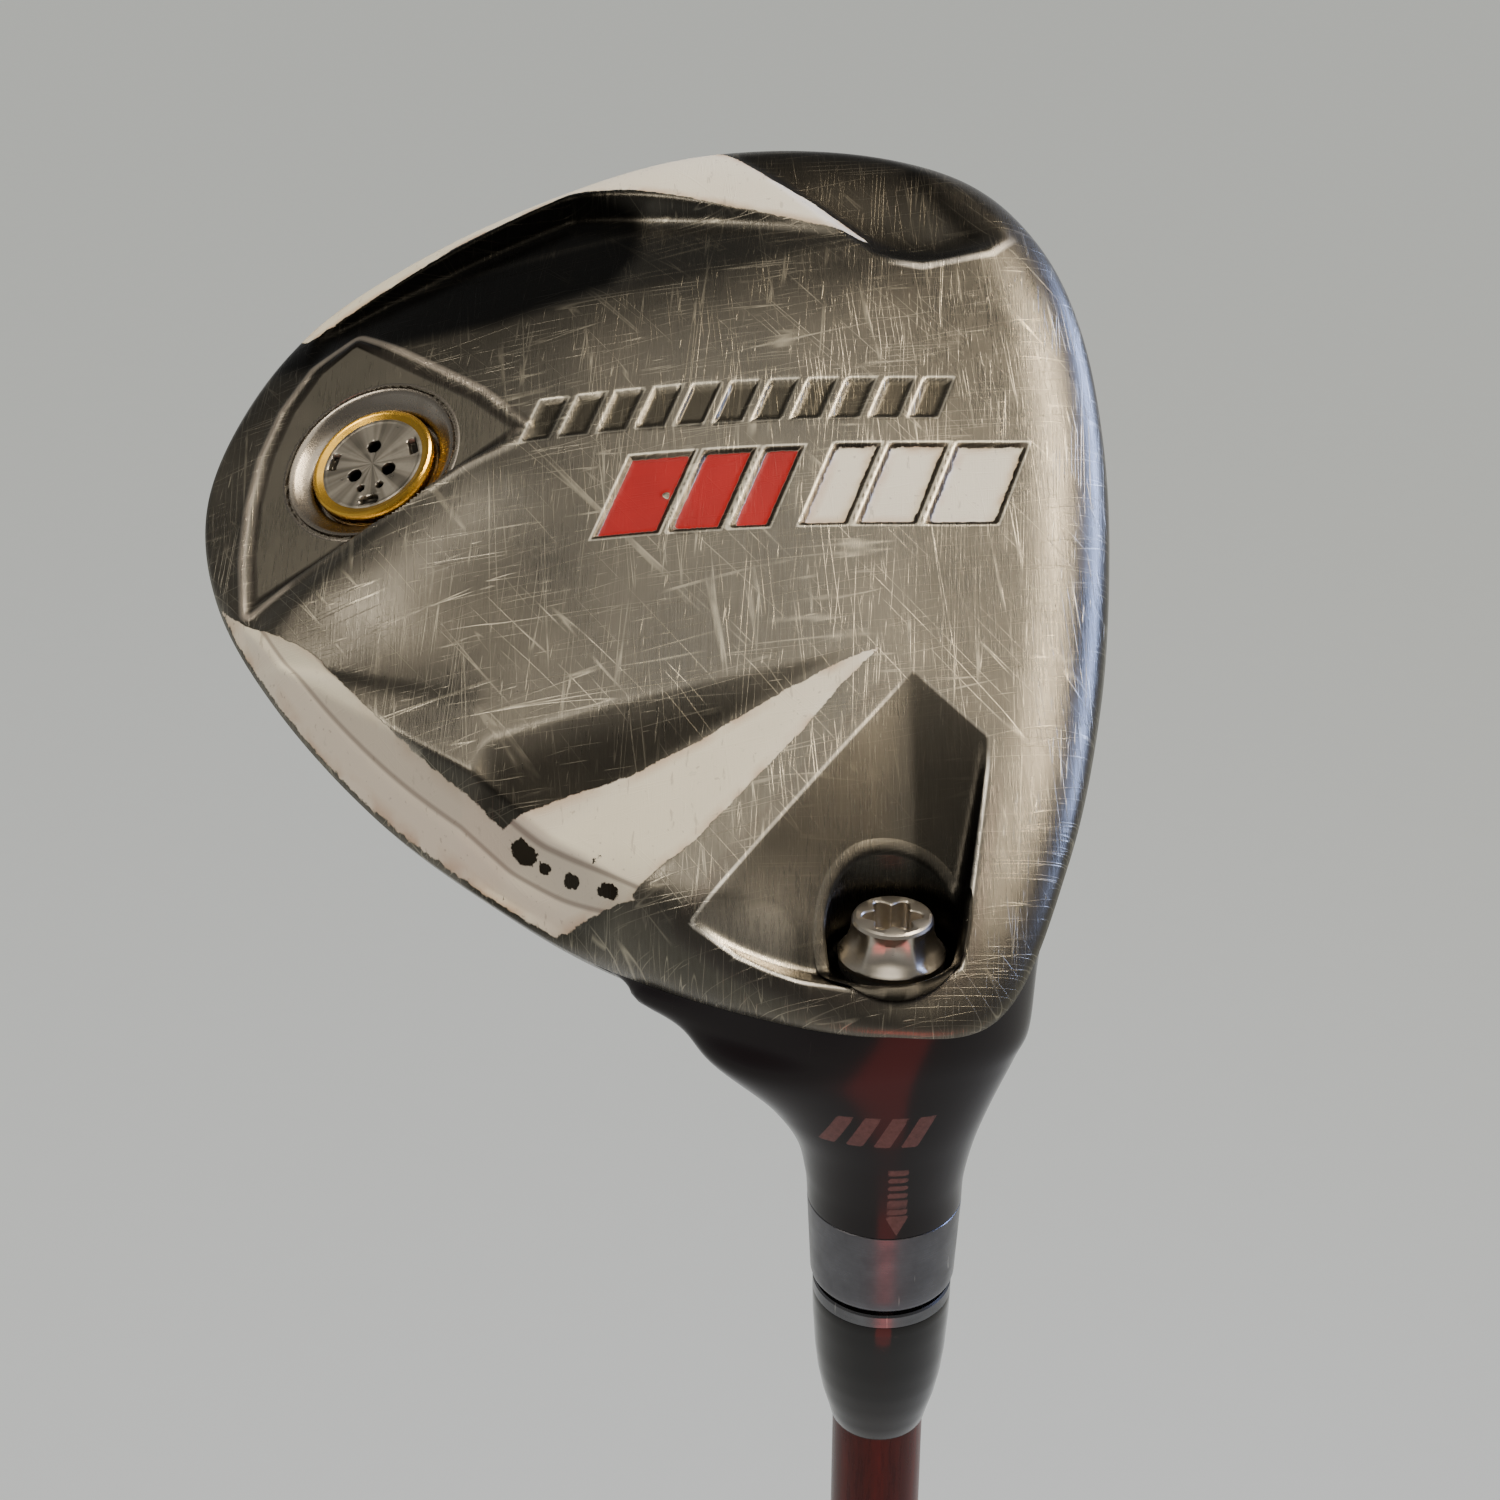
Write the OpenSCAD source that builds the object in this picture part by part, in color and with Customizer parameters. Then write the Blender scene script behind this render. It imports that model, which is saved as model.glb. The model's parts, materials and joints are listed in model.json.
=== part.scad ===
// Adjustable fairway wood: a steel head held on a graphite shaft by a keyed sleeve and one
// bolt through the sole, with a screw-in weight at the back of the sole. Millimetres.
// +Z runs up the shaft from the butt of the grip to the head, +X is the target direction
// out of the face, and +Y is the toe side. The origin is the vent hole in the grip cap.

/* [Club] */
// Length from the butt of the grip to the sole, along the shaft
club_len = 1090; // [1050:1:1110]
// Lie angle, between the shaft and the ground
lie = 58; // [56:0.5:60]
// Loft angle of the face
loft = 17; // [15:0.5:19]

/* [Head] */
// Height of the crown over the sole
head_height = 37; // [34:0.5:40]
// Radius of the sole's curve from heel to toe
sole_radius_y = 450; // [350:10:600]
// Radius of the sole's curve from the middle to the back
sole_radius_x = 154; // [140:1:180]
// Thickness of the cast sole and skirt
sole_wall = 2.2; // [1.8:0.1:2.6]
// Thickness of the crown plate
crown_wall = 1.2; // [1:0.1:1.5]
// Thickness of the face plate
face_wall = 2.6; // [2.2:0.1:3]

/* [Hosel and bolt] */
// Outer radius of the hosel where the black paint ends
hosel_r = 6.95; // [6.8:0.05:7.1]
// Radius of the hosel's bore
bore_r = 5; // [4.9:0.05:5.1]
// Radial clearance of the sleeve in its bore and of each thread
fit = 0.05; // [0.03:0.01:0.08]
// Radius of the bolt's thread
bolt_r = 2.5; // [2.4:0.05:2.6]
// Radius of the bolt's shank above the thread
bolt_neck_r = 2; // [1.9:0.05:2.1]
// Radius of the bolt head's flange
bolt_head_r = 4.65; // [4.4:0.05:4.9]
// Radius of the hole that the bolt head sits in
bolt_hole_r = 5.6; // [5.5:0.1:5.8]

/* [Weight] */
// Radius of the weight's gold ring
weight_r = 6.45; // [6.2:0.05:6.6]
// Radius of the weight's thread
weight_thread_r = 4; // [3.8:0.1:4.2]
// Lean of the weight towards the back
weight_lean = 18; // [15:1:21]

/* [Shaft and grip] */
// Radius of the shaft at the tip
shaft_tip_r = 4.25; // [4.2:0.05:4.3]
// Radius of the shaft at the butt
shaft_butt_r = 7.6; // [7.4:0.1:7.8]
// Length of the grip
grip_len = 268; // [260:1:275]
// Radius of the grip at the butt
grip_r = 13.4; // [13:0.1:14]
// Radius of the grip at its mouth
grip_mouth_r = 8.8; // [8.6:0.1:9.2]
// Radius of the vent hole in the cap
vent_r = 1.5; // [1.4:0.1:1.6]

/* [Hidden] */
$fn = 48;

// Places along the shaft axis, measured from the sole: negative is towards the grip.
bolt_top_z = -3;
bolt_head_h = 4;
bolt_seat_z = -7.8;
web_bottom_z = -10.6;
retainer_h = 0.6;
sleeve_tip_z = -11.5;
thread_top_z = -19;
bolt_end_z = -25;
shaft_tip_z = -27;
paint_end_z = -32;
hosel_end_z = -40.5;
shoulder_z = -41.1;
ferrule_top_z = -42.4;
ferrule_cone_z = -51.7;
ferrule_end_z = -57.5;
key_count = 8;
key_w = 1.6;
key_r = 5.6;
key_gap = 0.15;

// The widest line of the head, [x, y, height over the ground], anticlockwise from the heel.
head_centre = [-20, 42];
RIM = [
    [9, -10, 5], [15.5, 4, 4], [19.5, 20, 4], [21.5, 36, 4], [22, 50, 4], [21, 64, 4.5],
    [18, 76, 6], [12.5, 85.5, 8], [4, 90.5, 9], [-8, 92.5, 9.5], [-21, 91.5, 10],
    [-35, 87, 11.5], [-48, 80.5, 13], [-58, 72.5, 14], [-64, 62, 14.5], [-66.5, 50, 14.5],
    [-64, 38, 14.5], [-57, 26, 14], [-47, 14.5, 14], [-36, 5.5, 13.5], [-25, -2, 12],
    [-12, -9, 7], [-1, -12, 4.5]
];
rim_steps = 2;
rim_band = 0.5;
rings = 7;
crown_share = 0.94;
lip_share = 0.985;
top_line_x = 9;
face_heel_y = 8;
face_toe_y = 82;
face_steps = 5;

// The neck between the head and the ring: [z, half-width at the back, at the face, in front
// of the axis, behind the axis].
NECK = [
    [-32, 6.95, 6.95, 6.95, 6.95], [-29, 7.2, 7.1, 7, 7.2], [-25, 8.2, 7.9, 7.3, 8.3],
    [-21, 10.3, 9, 7.7, 10.4], [-16, 15.5, 10.5, 8.2, 14], [-12, 21, 12, 8.5, 19]
];
neck_steps = 32;
neck_cavity = [[-23, 8, 7.5, 7, 8], for (k = [3 : 5]) NECK[k] + [k == 5 ? 0.5 : 0, 0, 0, 0, 0]];

// The bolt pocket's edge on the sole, from its point at the toe end, and its deepest place.
POCKET = [
    [2.3, 21.4], [-7.5, 9], [-16, 0.5], [-16.5, -2.5], [-9, -6.8], [-2, -8.3], [4, -7.8],
    [6.6, -5], [8.3, 8], [8.8, 15]
];
pocket_bottom = [0.8, 1.5, -8];

// The weight's pocket, in the plane across the weight's axis.
WEIGHT_POCKET = [
    [16.2, 0.2], [11, 5.6], [-3, 16.5], [-8, 11], [-10.4, 2], [-9.8, -14.6], [3, -7.5]
];
weight_at = [-49.8, 51.6, -7.6];
weight_sink = 1.2;
weight_head_h = 1.6;
weight_len = 9;
port_r = 8.7;

function catmull(a, b, c, d, t) =
    0.5 * (2 * b + (c - a) * t + (2 * a - 5 * b + 4 * c - d) * t * t
        + (3 * b - a - 3 * c + d) * t * t * t);

function around(list, i) = list[(i + len(list)) % len(list)];

rim_line = [
    for (i = [0 : len(RIM) - 1], k = [0 : rim_steps - 1])
        catmull(around(RIM, i - 1), RIM[i], around(RIM, i + 1), around(RIM, i + 2), k / rim_steps)
];

// Height of the plain curved sole over the ground.
function camber(x, y) =
    pow(max(0, -x), 2) / (2 * sole_radius_x) + pow(y - 38, 2) / (2 * sole_radius_y);

// How far a share s of the way from the centre has rolled up to the rim, from 0 to 1.
function roll(s) = let (t = max(0, (s - 0.8) / 0.2)) 1 - sqrt(max(0, 1 - t * t));

function spot(rim, s) = [
    head_centre.x + s * (rim.x - head_centre.x),
    head_centre.y + s * (rim.y - head_centre.y)
];

function sole_height(rim, s) =
    let (p = spot(rim, s))
    camber(p.x, p.y) + (rim.z - camber(rim.x, rim.y)) * roll(s);

// Height of the lofted face over the ground, with its bulge from heel to toe.
function face_height(p) = 4 + (22 - pow(p.y - 46, 2) / 600 - p.x) / tan(loft);

function crown_height(rim, s) =
    let (
        out = [rim.x, rim.y] - head_centre,
        ahead = max(0, out.x / norm(out)),
        power = 2.1 + 4.4 * ahead * ahead
    )
    rim.z + rim_band + (head_height - rim.z - rim_band) * pow(max(0, 1 - pow(s, power)), 0.75);

function top_height(rim, s) =
    min(crown_height(rim, s), max(rim.z + rim_band, face_height(spot(rim, s))));

// The opening of the casting, as a share of the way out, and the line between crown and face.
// Both come together at the face's heel and toe ends.
function face_bow(rim) =
    let (t = (rim.y - face_heel_y) / (face_toe_y - face_heel_y))
    rim.x < 0 || t <= 0 || t >= 1 ? 0 : pow(sin(180 * t), 0.4);

function opening_share(rim) = crown_share + (lip_share - crown_share) * face_bow(rim);

// The casting is as thick as the plate that it meets.
function lip_wall(rim) = face_bow(rim) > 0 ? face_wall : crown_wall;

function top_line_share(rim) =
    crown_share + (top_line_x - head_centre.x) / (rim.x - head_centre.x) * face_bow(rim)
        - crown_share * face_bow(rim);

function ring_share(j) = 1 - pow(1 - j / rings, 1.5);

function sole_point(rim, s, wall = 0) =
    let (p = spot(rim, s)) [p.x, p.y, -sole_height(rim, s) - wall];

function top_point(rim, s, wall = 0) =
    let (p = spot(rim, s)) [p.x, p.y, wall - top_height(rim, s)];

// A closed solid from loops of equal length: each loop is joined to the next, and the first
// and last are closed by a point of their own or, without one, by a flat polygon.
module loops_solid(loops, first = undef, last = undef) {
    n = len(loops[0]);
    m = len(loops);
    body = [for (loop = loops) each loop];
    ends = concat(is_undef(first) ? [] : [first], is_undef(last) ? [] : [last]);
    last_loop = (m - 1) * n;
    sides = [
        for (j = [0 : m - 2], i = [0 : n - 1])
            let (a = j * n + i, b = j * n + (i + 1) % n)
            each [[a, b, a + n], [b, b + n, a + n]]
    ];
    start = is_undef(first)
        ? [[for (i = [n - 1 : -1 : 0]) i]]
        : [for (i = [0 : n - 1]) [m * n, (i + 1) % n, i]];
    finish = is_undef(last)
        ? [[for (i = [0 : n - 1]) last_loop + i]]
        : [for (i = [0 : n - 1]) [m * n + 1, last_loop + i, last_loop + (i + 1) % n]];
    polyhedron(concat(body, ends), concat(sides, start, finish), convexity = 4);
}

module in_head() {
    translate([0, 0, club_len]) rotate([90 - lie, 0, 0]) children();
}

module on_axis(z = 0) {
    translate([0, 0, club_len + z]) children();
}

module at_weight() {
    in_head() translate(weight_at) rotate([0, -weight_lean, 0]) children();
}

// Sole, skirt and rim of the casting, open on top for the crown and the face.
module shell() {
    in_head()
        loops_solid(
            concat(
                [for (j = [1 : rings]) [for (r = rim_line) sole_point(r, ring_share(j))]],
                [for (k = [0, 0.5, 1])
                    [for (r = rim_line) top_point(r, 1 + k * (opening_share(r) - 1))]],
                [[for (r = rim_line) top_point(r, opening_share(r), lip_wall(r))]],
                [for (j = [rings - 1 : -1 : 1])
                    [for (r = rim_line) sole_point(r, ring_share(j) * 0.95, sole_wall)]]
            ),
            [head_centre.x, head_centre.y, -camber(head_centre.x, head_centre.y)],
            [head_centre.x, head_centre.y, -camber(head_centre.x, head_centre.y) - sole_wall]
        );
}

function quadrant_radius(row, a) =
    let (
        c = cos(a), s = sin(a),
        wide = c < 0 ? row[1] : row[2],
        deep = s < 0 ? row[3] : row[4]
    )
    1 / sqrt(pow(c / wide, 2) + pow(s / deep, 2));

// The neck, from the ring to inside the heel, as lofted from rows like those of NECK.
module neck_loft(rows, shrink) {
    loops_solid([
        for (row = rows)
            [
                for (i = [0 : neck_steps - 1])
                    let (a = -360 * i / neck_steps, r = quadrant_radius(row, a) * shrink)
                    [r * cos(a), r * sin(a), club_len + row[0]]
            ]
    ]);
}

module neck() {
    difference() {
        neck_loft(NECK, 1);
        neck_loft(neck_cavity, 0.82);
    }
}

module pocket_solid() {
    top = 6;
    n = len(POCKET);
    rim = [for (p = POCKET) [p.x, p.y, -camber(p.x, p.y) - 0.3]];
    points = concat([for (p = rim) [p.x, p.y, top]], rim, [pocket_bottom]);
    faces = concat(
        [[for (i = [n - 1 : -1 : 0]) i]],
        [
            for (i = [0 : n - 1])
                let (k = (i + 1) % n)
                each [[i, k, i + n], [k, k + n, i + n], [i + n, k + n, 2 * n]]
        ]
    );
    in_head() polyhedron(points, faces, convexity = 4);
}

module bolt_boss() {
    on_axis(-16) cylinder(r = 7.4, h = 12);
    on_axis(paint_end_z) cylinder(r = 6.4, h = 18);
    in_head() translate([-2, 6, -9.5]) cylinder(r1 = 5, r2 = 12, h = 6);
}

module hosel_bores() {
    on_axis(bolt_seat_z) cylinder(r = bolt_hole_r, h = 20);
    on_axis(-30) cylinder(r = bolt_r + 0.25, h = 30);
    on_axis(hosel_end_z - 1) cylinder(r = bore_r, h = web_bottom_z - hosel_end_z + 1);
    for (k = [0 : key_count - 1])
        on_axis(hosel_end_z - 1)
            rotate([0, 0, 360 * k / key_count])
                translate([0, -key_w / 2 - key_gap, 0])
                    cube([key_r + key_gap, key_w + 2 * key_gap, 6.5]);
}

module ring_seat() {
    on_axis(hosel_end_z) cylinder(r = 6.1, h = paint_end_z - hosel_end_z + 2);
}

module head_body() {
    color("darkgray")
        difference() {
            union() {
                shell();
                neck();
                bolt_boss();
                ring_seat();
                at_weight() translate([0, 0, -weight_len]) cylinder(r = port_r + 1, h = weight_len);
            }
            pocket_solid();
            hosel_bores();
            at_weight()
                translate([0, 0, -weight_sink]) linear_extrude(12) polygon(WEIGHT_POCKET);
            at_weight() translate([0, 0, -20]) cylinder(r = port_r, h = 30);
        }
}

module crown_shell() {
    shares = [for (j = [1 : rings]) 1 - pow(1 - j / rings, 1.3)];
    in_head()
        loops_solid(
            concat(
                [for (s = shares)
                    [for (r = rim_line) top_point(r, s * top_line_share(r), crown_wall)]],
                [for (j = [rings - 1 : -1 : 0])
                    [for (r = rim_line) top_point(r, shares[j] * top_line_share(r))]]
            ),
            [head_centre.x, head_centre.y, crown_wall - head_height],
            [head_centre.x, head_centre.y, -head_height]
        );
}

module crown() {
    color("black")
        difference() {
            crown_shell();
            neck_loft(NECK, 1);
        }
}

// Each loop goes round the plate's section at one place from heel to toe. The plate runs out to
// a point at both ends, where the crown meets the casting.
module face_plate() {
    n = len(rim_line);
    along = [for (i = [0 : n - 1]) if (face_bow(rim_line[i]) > 0) i];
    inside = [for (k = [len(along) - 1 : -1 : 0]) rim_line[along[k]]];
    steps = [0 : face_steps];
    end = function (r) top_point(r, opening_share(r));
    share = function (r, k) opening_share(r)
        + (top_line_share(r) - opening_share(r)) * k / face_steps;
    color("silver")
        in_head()
            loops_solid(
                [
                    for (r = inside)
                        concat(
                            [for (k = steps) top_point(r, share(r, k))],
                            [for (k = [face_steps : -1 : 0]) top_point(r, share(r, k), face_wall)]
                        )
                ],
                end(around(rim_line, along[len(along) - 1] + 1)),
                end(around(rim_line, along[0] - 1))
            );
}

module hosel_ring() {
    color("lightgray")
        on_axis()
            rotate_extrude()
                polygon([
                    [6.1, paint_end_z], [hosel_r, paint_end_z], [6.55, hosel_end_z + 0.2],
                    [6.35, hosel_end_z], [6.1, hosel_end_z]
                ]);
}

module bolt_retainer() {
    color("dimgray")
        on_axis(web_bottom_z - retainer_h)
            difference() {
                cylinder(r = bore_r, h = retainer_h);
                translate([0, 0, -1]) cylinder(r = bolt_neck_r + 0.2, h = retainer_h + 2);
            }
}

module bolt_washer() {
    color("silver")
        on_axis(bolt_seat_z)
            difference() {
                cylinder(r = bolt_head_r - 0.1, h = 0.8);
                translate([0, 0, -1]) cylinder(r = bolt_neck_r + fit, h = 3);
            }
}

// Six round lobes around a core: a star drive socket.
module star_socket(r, h) {
    union() {
        cylinder(r = r * 0.72, h = h);
        for (k = [0 : 5])
            rotate([0, 0, 60 * k]) translate([r * 0.76, 0, 0]) cylinder(r = r * 0.24, h = h, $fn = 16);
    }
}

module hosel_bolt() {
    color("gainsboro")
        on_axis()
            difference() {
                rotate_extrude()
                    polygon([
                        [0, bolt_top_z], [3.1, bolt_top_z], [3.4, bolt_top_z - 0.3],
                        [3.6, bolt_top_z - 1.2], [bolt_head_r, bolt_top_z - 3.3],
                        [bolt_head_r, bolt_top_z - bolt_head_h],
                        [bolt_neck_r, bolt_top_z - bolt_head_h], [bolt_neck_r, thread_top_z + 0.4],
                        [bolt_r, thread_top_z], [bolt_r, bolt_end_z + 0.6],
                        [bolt_r - 0.6, bolt_end_z], [0, bolt_end_z]
                    ]);
                translate([0, 0, bolt_top_z - 2.6]) star_socket(2.3, 5);
            }
}

module weight_port() {
    color("darkgray")
        at_weight()
            rotate_extrude()
                polygon([
                    [weight_thread_r + fit, -weight_len], [port_r, -weight_len],
                    [port_r, -weight_sink], [7.4, -weight_sink - 0.7],
                    [weight_r + 0.3, -weight_sink - 0.9],
                    [weight_r + 0.3, -weight_sink - weight_head_h - 1],
                    [weight_thread_r + fit, -weight_sink - weight_head_h - 1]
                ]);
}

module weight_washer() {
    color("black")
        at_weight()
            translate([0, 0, -weight_sink - weight_head_h - 1])
                difference() {
                    cylinder(r = 5.8, h = 0.6);
                    translate([0, 0, -1]) cylinder(r = weight_thread_r + fit, h = 3);
                }
}

module weight_plug() {
    top = -weight_sink - 0.4;
    under = -weight_sink - weight_head_h - 0.4;
    color("silver")
        at_weight()
            difference() {
                union() {
                    translate([0, 0, under]) cylinder(r = 5.5, h = top - under);
                    translate([0, 0, -weight_len + 0.4])
                        cylinder(r = weight_thread_r, h = under + weight_len - 0.4);
                }
                for (a = [90, 210, 330])
                    rotate([0, 0, a]) translate([2.1, 0, top - 1.4]) cylinder(r = 0.7, h = 3);
                for (a = [250, 290])
                    rotate([0, 0, a]) translate([3.4, 0, top - 0.8]) cylinder(r = 0.4, h = 3);
                translate([0, 0, -weight_len]) cylinder(r = 2.8, h = 4.4);
            }
}

module weight_ring() {
    color("goldenrod")
        at_weight()
            rotate_extrude()
                polygon([
                    [5.5, -weight_sink - weight_head_h - 0.4],
                    [weight_r, -weight_sink - weight_head_h - 0.4],
                    [weight_r, -weight_sink - 0.4], [weight_r - 0.35, -weight_sink - 0.1],
                    [5.5, -weight_sink - 0.4]
                ]);
}

module weight_core() {
    color("slategray") at_weight() translate([0, 0, -weight_len + 0.4]) cylinder(r = 2.8, h = 4);
}

// The thread is in the lower half of the sleeve's bore only, so that the bolt comes free of it
// before its own thread reaches the retainer.
module adapter_sleeve() {
    color("gray")
        on_axis() {
            rotate_extrude()
                polygon([
                    [bolt_r + 0.4, sleeve_tip_z], [4.4, sleeve_tip_z],
                    [bore_r - fit, sleeve_tip_z - 0.6], [bore_r - fit, shoulder_z],
                    [6.2, shoulder_z], [6.35, shoulder_z - 0.2],
                    [6.35, ferrule_top_z], [5.1, ferrule_top_z], [5.1, -51],
                    [shaft_tip_r + 0.15, -51], [shaft_tip_r + 0.15, shaft_tip_z],
                    [bolt_r + fit, shaft_tip_z], [bolt_r + fit, thread_top_z],
                    [bolt_r + 0.4, thread_top_z]
                ]);
            for (k = [0 : key_count - 1])
                rotate([0, 0, 360 * k / key_count])
                    translate([4.6, -key_w / 2, shoulder_z - 0.1])
                        cube([key_r - 4.6, key_w, 5.5]);
        }
}

module sleeve_adhesive() {
    color("ivory")
        on_axis(-51)
            difference() {
                cylinder(r = shaft_tip_r + 0.15, h = 51 + shaft_tip_z);
                translate([0, 0, -1]) cylinder(r = shaft_tip_r, h = 60);
            }
}

module ferrule() {
    color("black")
        on_axis()
            rotate_extrude()
                polygon([
                    [5.1, ferrule_top_z], [6.2, ferrule_top_z], [6.35, ferrule_top_z - 0.3],
                    [6.3, -45], [6.05, -49], [5.75, ferrule_cone_z], [5.3, -54],
                    [4.75, -56], [shaft_tip_r + 0.15, ferrule_end_z],
                    [shaft_tip_r + 0.02, ferrule_end_z], [shaft_tip_r + 0.02, -51], [5.1, -51]
                ]);
}

module shaft_tube() {
    tip_z = club_len + shaft_tip_z;
    tip_parallel_z = club_len - 150;
    butt_parallel_z = 300;
    butt_z = 4;
    wall = 1.25;
    tip_wall = 2;
    color("saddlebrown")
        rotate_extrude()
            polygon([
                [shaft_butt_r - wall, butt_z], [shaft_butt_r, butt_z],
                [shaft_butt_r, butt_parallel_z], [shaft_tip_r, tip_parallel_z],
                [shaft_tip_r, tip_z], [shaft_tip_r - tip_wall, tip_z],
                [shaft_tip_r - tip_wall, tip_parallel_z], [shaft_butt_r - wall, butt_parallel_z]
            ]);
}

module tip_plug() {
    color("tan") on_axis(-70) cylinder(r = shaft_tip_r - 2, h = 12);
}

module grip_tape() {
    color("wheat")
        translate([0, 0, 5])
            difference() {
                cylinder(r = shaft_butt_r + 0.2, h = grip_len - 8);
                translate([0, 0, -1]) cylinder(r = shaft_butt_r, h = grip_len);
            }
}

module grip() {
    color("#222222")
        rotate_extrude()
            polygon([
                [shaft_butt_r + 0.2, 4], [grip_r, 4], [grip_r - 0.2, 12],
                [grip_r - 1.4, 60], [grip_r - 2.5, 120], [grip_r - 3.4, 190],
                [grip_mouth_r + 0.2, grip_len - 3], [grip_mouth_r - 0.3, grip_len],
                [shaft_butt_r + 0.2, grip_len]
            ]);
}

module grip_cap() {
    color("black")
        rotate_extrude()
            polygon([
                [vent_r, 0], [grip_r - 2, 0], [grip_r - 0.6, 0.5], [grip_r, 1.8],
                [grip_r, 4], [vent_r, 4]
            ]);
}

// A blob of sticky resin on the inner side of the sole, which keeps loose grit from rattling.
module rattle_pad() {
    color("khaki")
        difference() {
            in_head()
                translate([-6, 64, -camber(-6, 64) - 1])
                    rotate([0, 180, 0])
                        rotate_extrude()
                            polygon([[0, 0], [9, 0], [8.8, 2], [6.8, 3.4], [3.4, 4.3], [0, 4.5]]);
            shell();
        }
}

head_body();
crown();
face_plate();
hosel_ring();
weight_port();
rattle_pad();
bolt_retainer();
bolt_washer();
hosel_bolt();
weight_washer();
weight_plug();
weight_ring();
weight_core();
adapter_sleeve();
sleeve_adhesive();
ferrule();
shaft_tube();
tip_plug();
grip_tape();
grip();
grip_cap();
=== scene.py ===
"""Fairway wood seen from its sole side. Lengths are millimetres in the head's own frame (x towards
the target, y towards the toe, h the height over the ground) until to_world() turns them into metres."""
import json
import math

import bpy
import numpy as np
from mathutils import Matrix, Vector


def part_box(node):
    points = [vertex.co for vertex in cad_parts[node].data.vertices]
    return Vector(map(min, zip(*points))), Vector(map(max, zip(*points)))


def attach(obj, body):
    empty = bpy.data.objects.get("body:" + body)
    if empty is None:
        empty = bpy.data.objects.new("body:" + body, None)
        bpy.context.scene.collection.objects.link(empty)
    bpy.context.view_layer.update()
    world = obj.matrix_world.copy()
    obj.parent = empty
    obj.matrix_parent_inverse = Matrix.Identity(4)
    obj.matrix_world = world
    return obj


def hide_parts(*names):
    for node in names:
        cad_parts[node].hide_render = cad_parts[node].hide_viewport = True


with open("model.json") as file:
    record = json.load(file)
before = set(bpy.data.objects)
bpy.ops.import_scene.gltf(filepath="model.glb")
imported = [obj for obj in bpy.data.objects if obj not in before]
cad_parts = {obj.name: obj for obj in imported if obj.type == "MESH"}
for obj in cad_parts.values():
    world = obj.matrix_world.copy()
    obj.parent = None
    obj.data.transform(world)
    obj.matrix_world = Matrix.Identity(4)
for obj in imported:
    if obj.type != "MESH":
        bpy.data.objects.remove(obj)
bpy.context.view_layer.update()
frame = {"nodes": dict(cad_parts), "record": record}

MM = 0.001
JOINTS = {j["name"]: j for j in frame["record"]["behaviour"]["joints"]}
WEIGHT_AXIS = Vector(JOINTS["weight_travel"]["axis"])
TILT = math.atan2(-WEIGHT_AXIS.y, WEIGHT_AXIS.z)
WEIGHT_LEAN = math.asin(-WEIGHT_AXIS.x)
# Where the bolt's top is along the shaft, from the point where the shaft's axis meets the ground.
BOLT_TOP = -3.0
SOLE_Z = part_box("hosel_bolt")[1].z / MM - BOLT_TOP
COS, SIN = math.cos(TILT), math.sin(TILT)

# ---------------------------------------------------------------- shape of the head
HEAD_CENTRE = (-20, 42)
# Rim of the sole, round from the heel's face side by the toe: (x, y, h).
RIM = [
    (9, -10, 5), (15.5, 4, 4), (19.5, 20, 4), (21.5, 36, 4), (22, 50, 4), (21, 64, 4.5),
    (18, 76, 6), (12.5, 85.5, 8), (4, 90.5, 9), (-8, 92.5, 9.5), (-21, 91.5, 10),
    (-35, 87, 11.5), (-48, 80.5, 13), (-58, 72.5, 14), (-64, 62, 14.5), (-66.5, 50, 14.5),
    (-64, 38, 14.5), (-57, 26, 14), (-47, 14.5, 14), (-36, 5.5, 13.5), (-25, -2, 12),
    (-12, -9, 7), (-1, -12, 4.5),
]
# Where the skirt's facets start and end, in points of RIM, how wide they start, and the width that
# their slopes and creases are stated for.
SKIRT_FROM, SKIRT_TO, SKIRT_WIDTH, SKIRT_SPAN = 16.0, 19.9, 5.5, 6.1
SOLE_RADIUS_X = 154
SOLE_RADIUS_Y = 450
HEAD_HEIGHT = 37
LOFT = math.radians(17)
CROWN_SHARE = 0.94
LIP_SHARE = 0.985
TOP_LINE_X = 9
FACE_HEEL_Y, FACE_TOE_Y = 8, 82
RIM_BAND = 0.5

BOLT_POCKET = [
    (2.4, 21.6), (-17.2, -1.9), (-13, -5.2), (-8, -7.5), (-2.1, -8.5), (2.9, -7.9),
    (5.6, -6.5), (8.6, 12), (8.8, 14.9),
]
BOLT_POCKET_SLOPES = [0.235, 1.4, 1.5, 1.5, 1.5, 1.5, 2.0, 1.2, 0.176]
WEDGE_HOLLOW = [(-0.5, 24.5), (-24.5, -2.5), (-40, 4), (-36, 17)]
WEDGE_HOLLOW_SLOPES = [0.26, 0.5, 0.5, 0.3]
COVE = [(0.4, 74.5), (-17, 80.9), (-31, 85.2), (-42, 79.6), (-57, 70.6), (-58, 66), (-37, 65)]
COVE_SLOPES = [1.0, 1.3, 1.5, 1.5, 0.8, 0.2, 0.2]
TOE_SCOOP = [
    (-14.7, 88.5), (0.2, 71.8), (5.1, 70.6), (11.8, 72.5), (14, 75), (13, 80), (7, 86), (-3, 91),
]
TOE_SCOOP_SLOPES = [0.9, 0.8, 0.8, 0.6, 0.35, 0.3, 0.3, 0.25]
WEIGHT_AT = (-49.8, 51.6, 7.6)
WEIGHT_POCKET = [
    (16.2, 0.2), (11, 5.6), (-3, 16.5), (-7.2, 13.2), (-10, 8.6), (-11.7, 3.2), (-12.4, -3),
    (-12.3, -9), (-11.4, -15.4), (3, -7.5),
]
WEIGHT_SINK = 1.2
PORT_R = 8.7
BOLT_HOLE_R = 5.6
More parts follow.
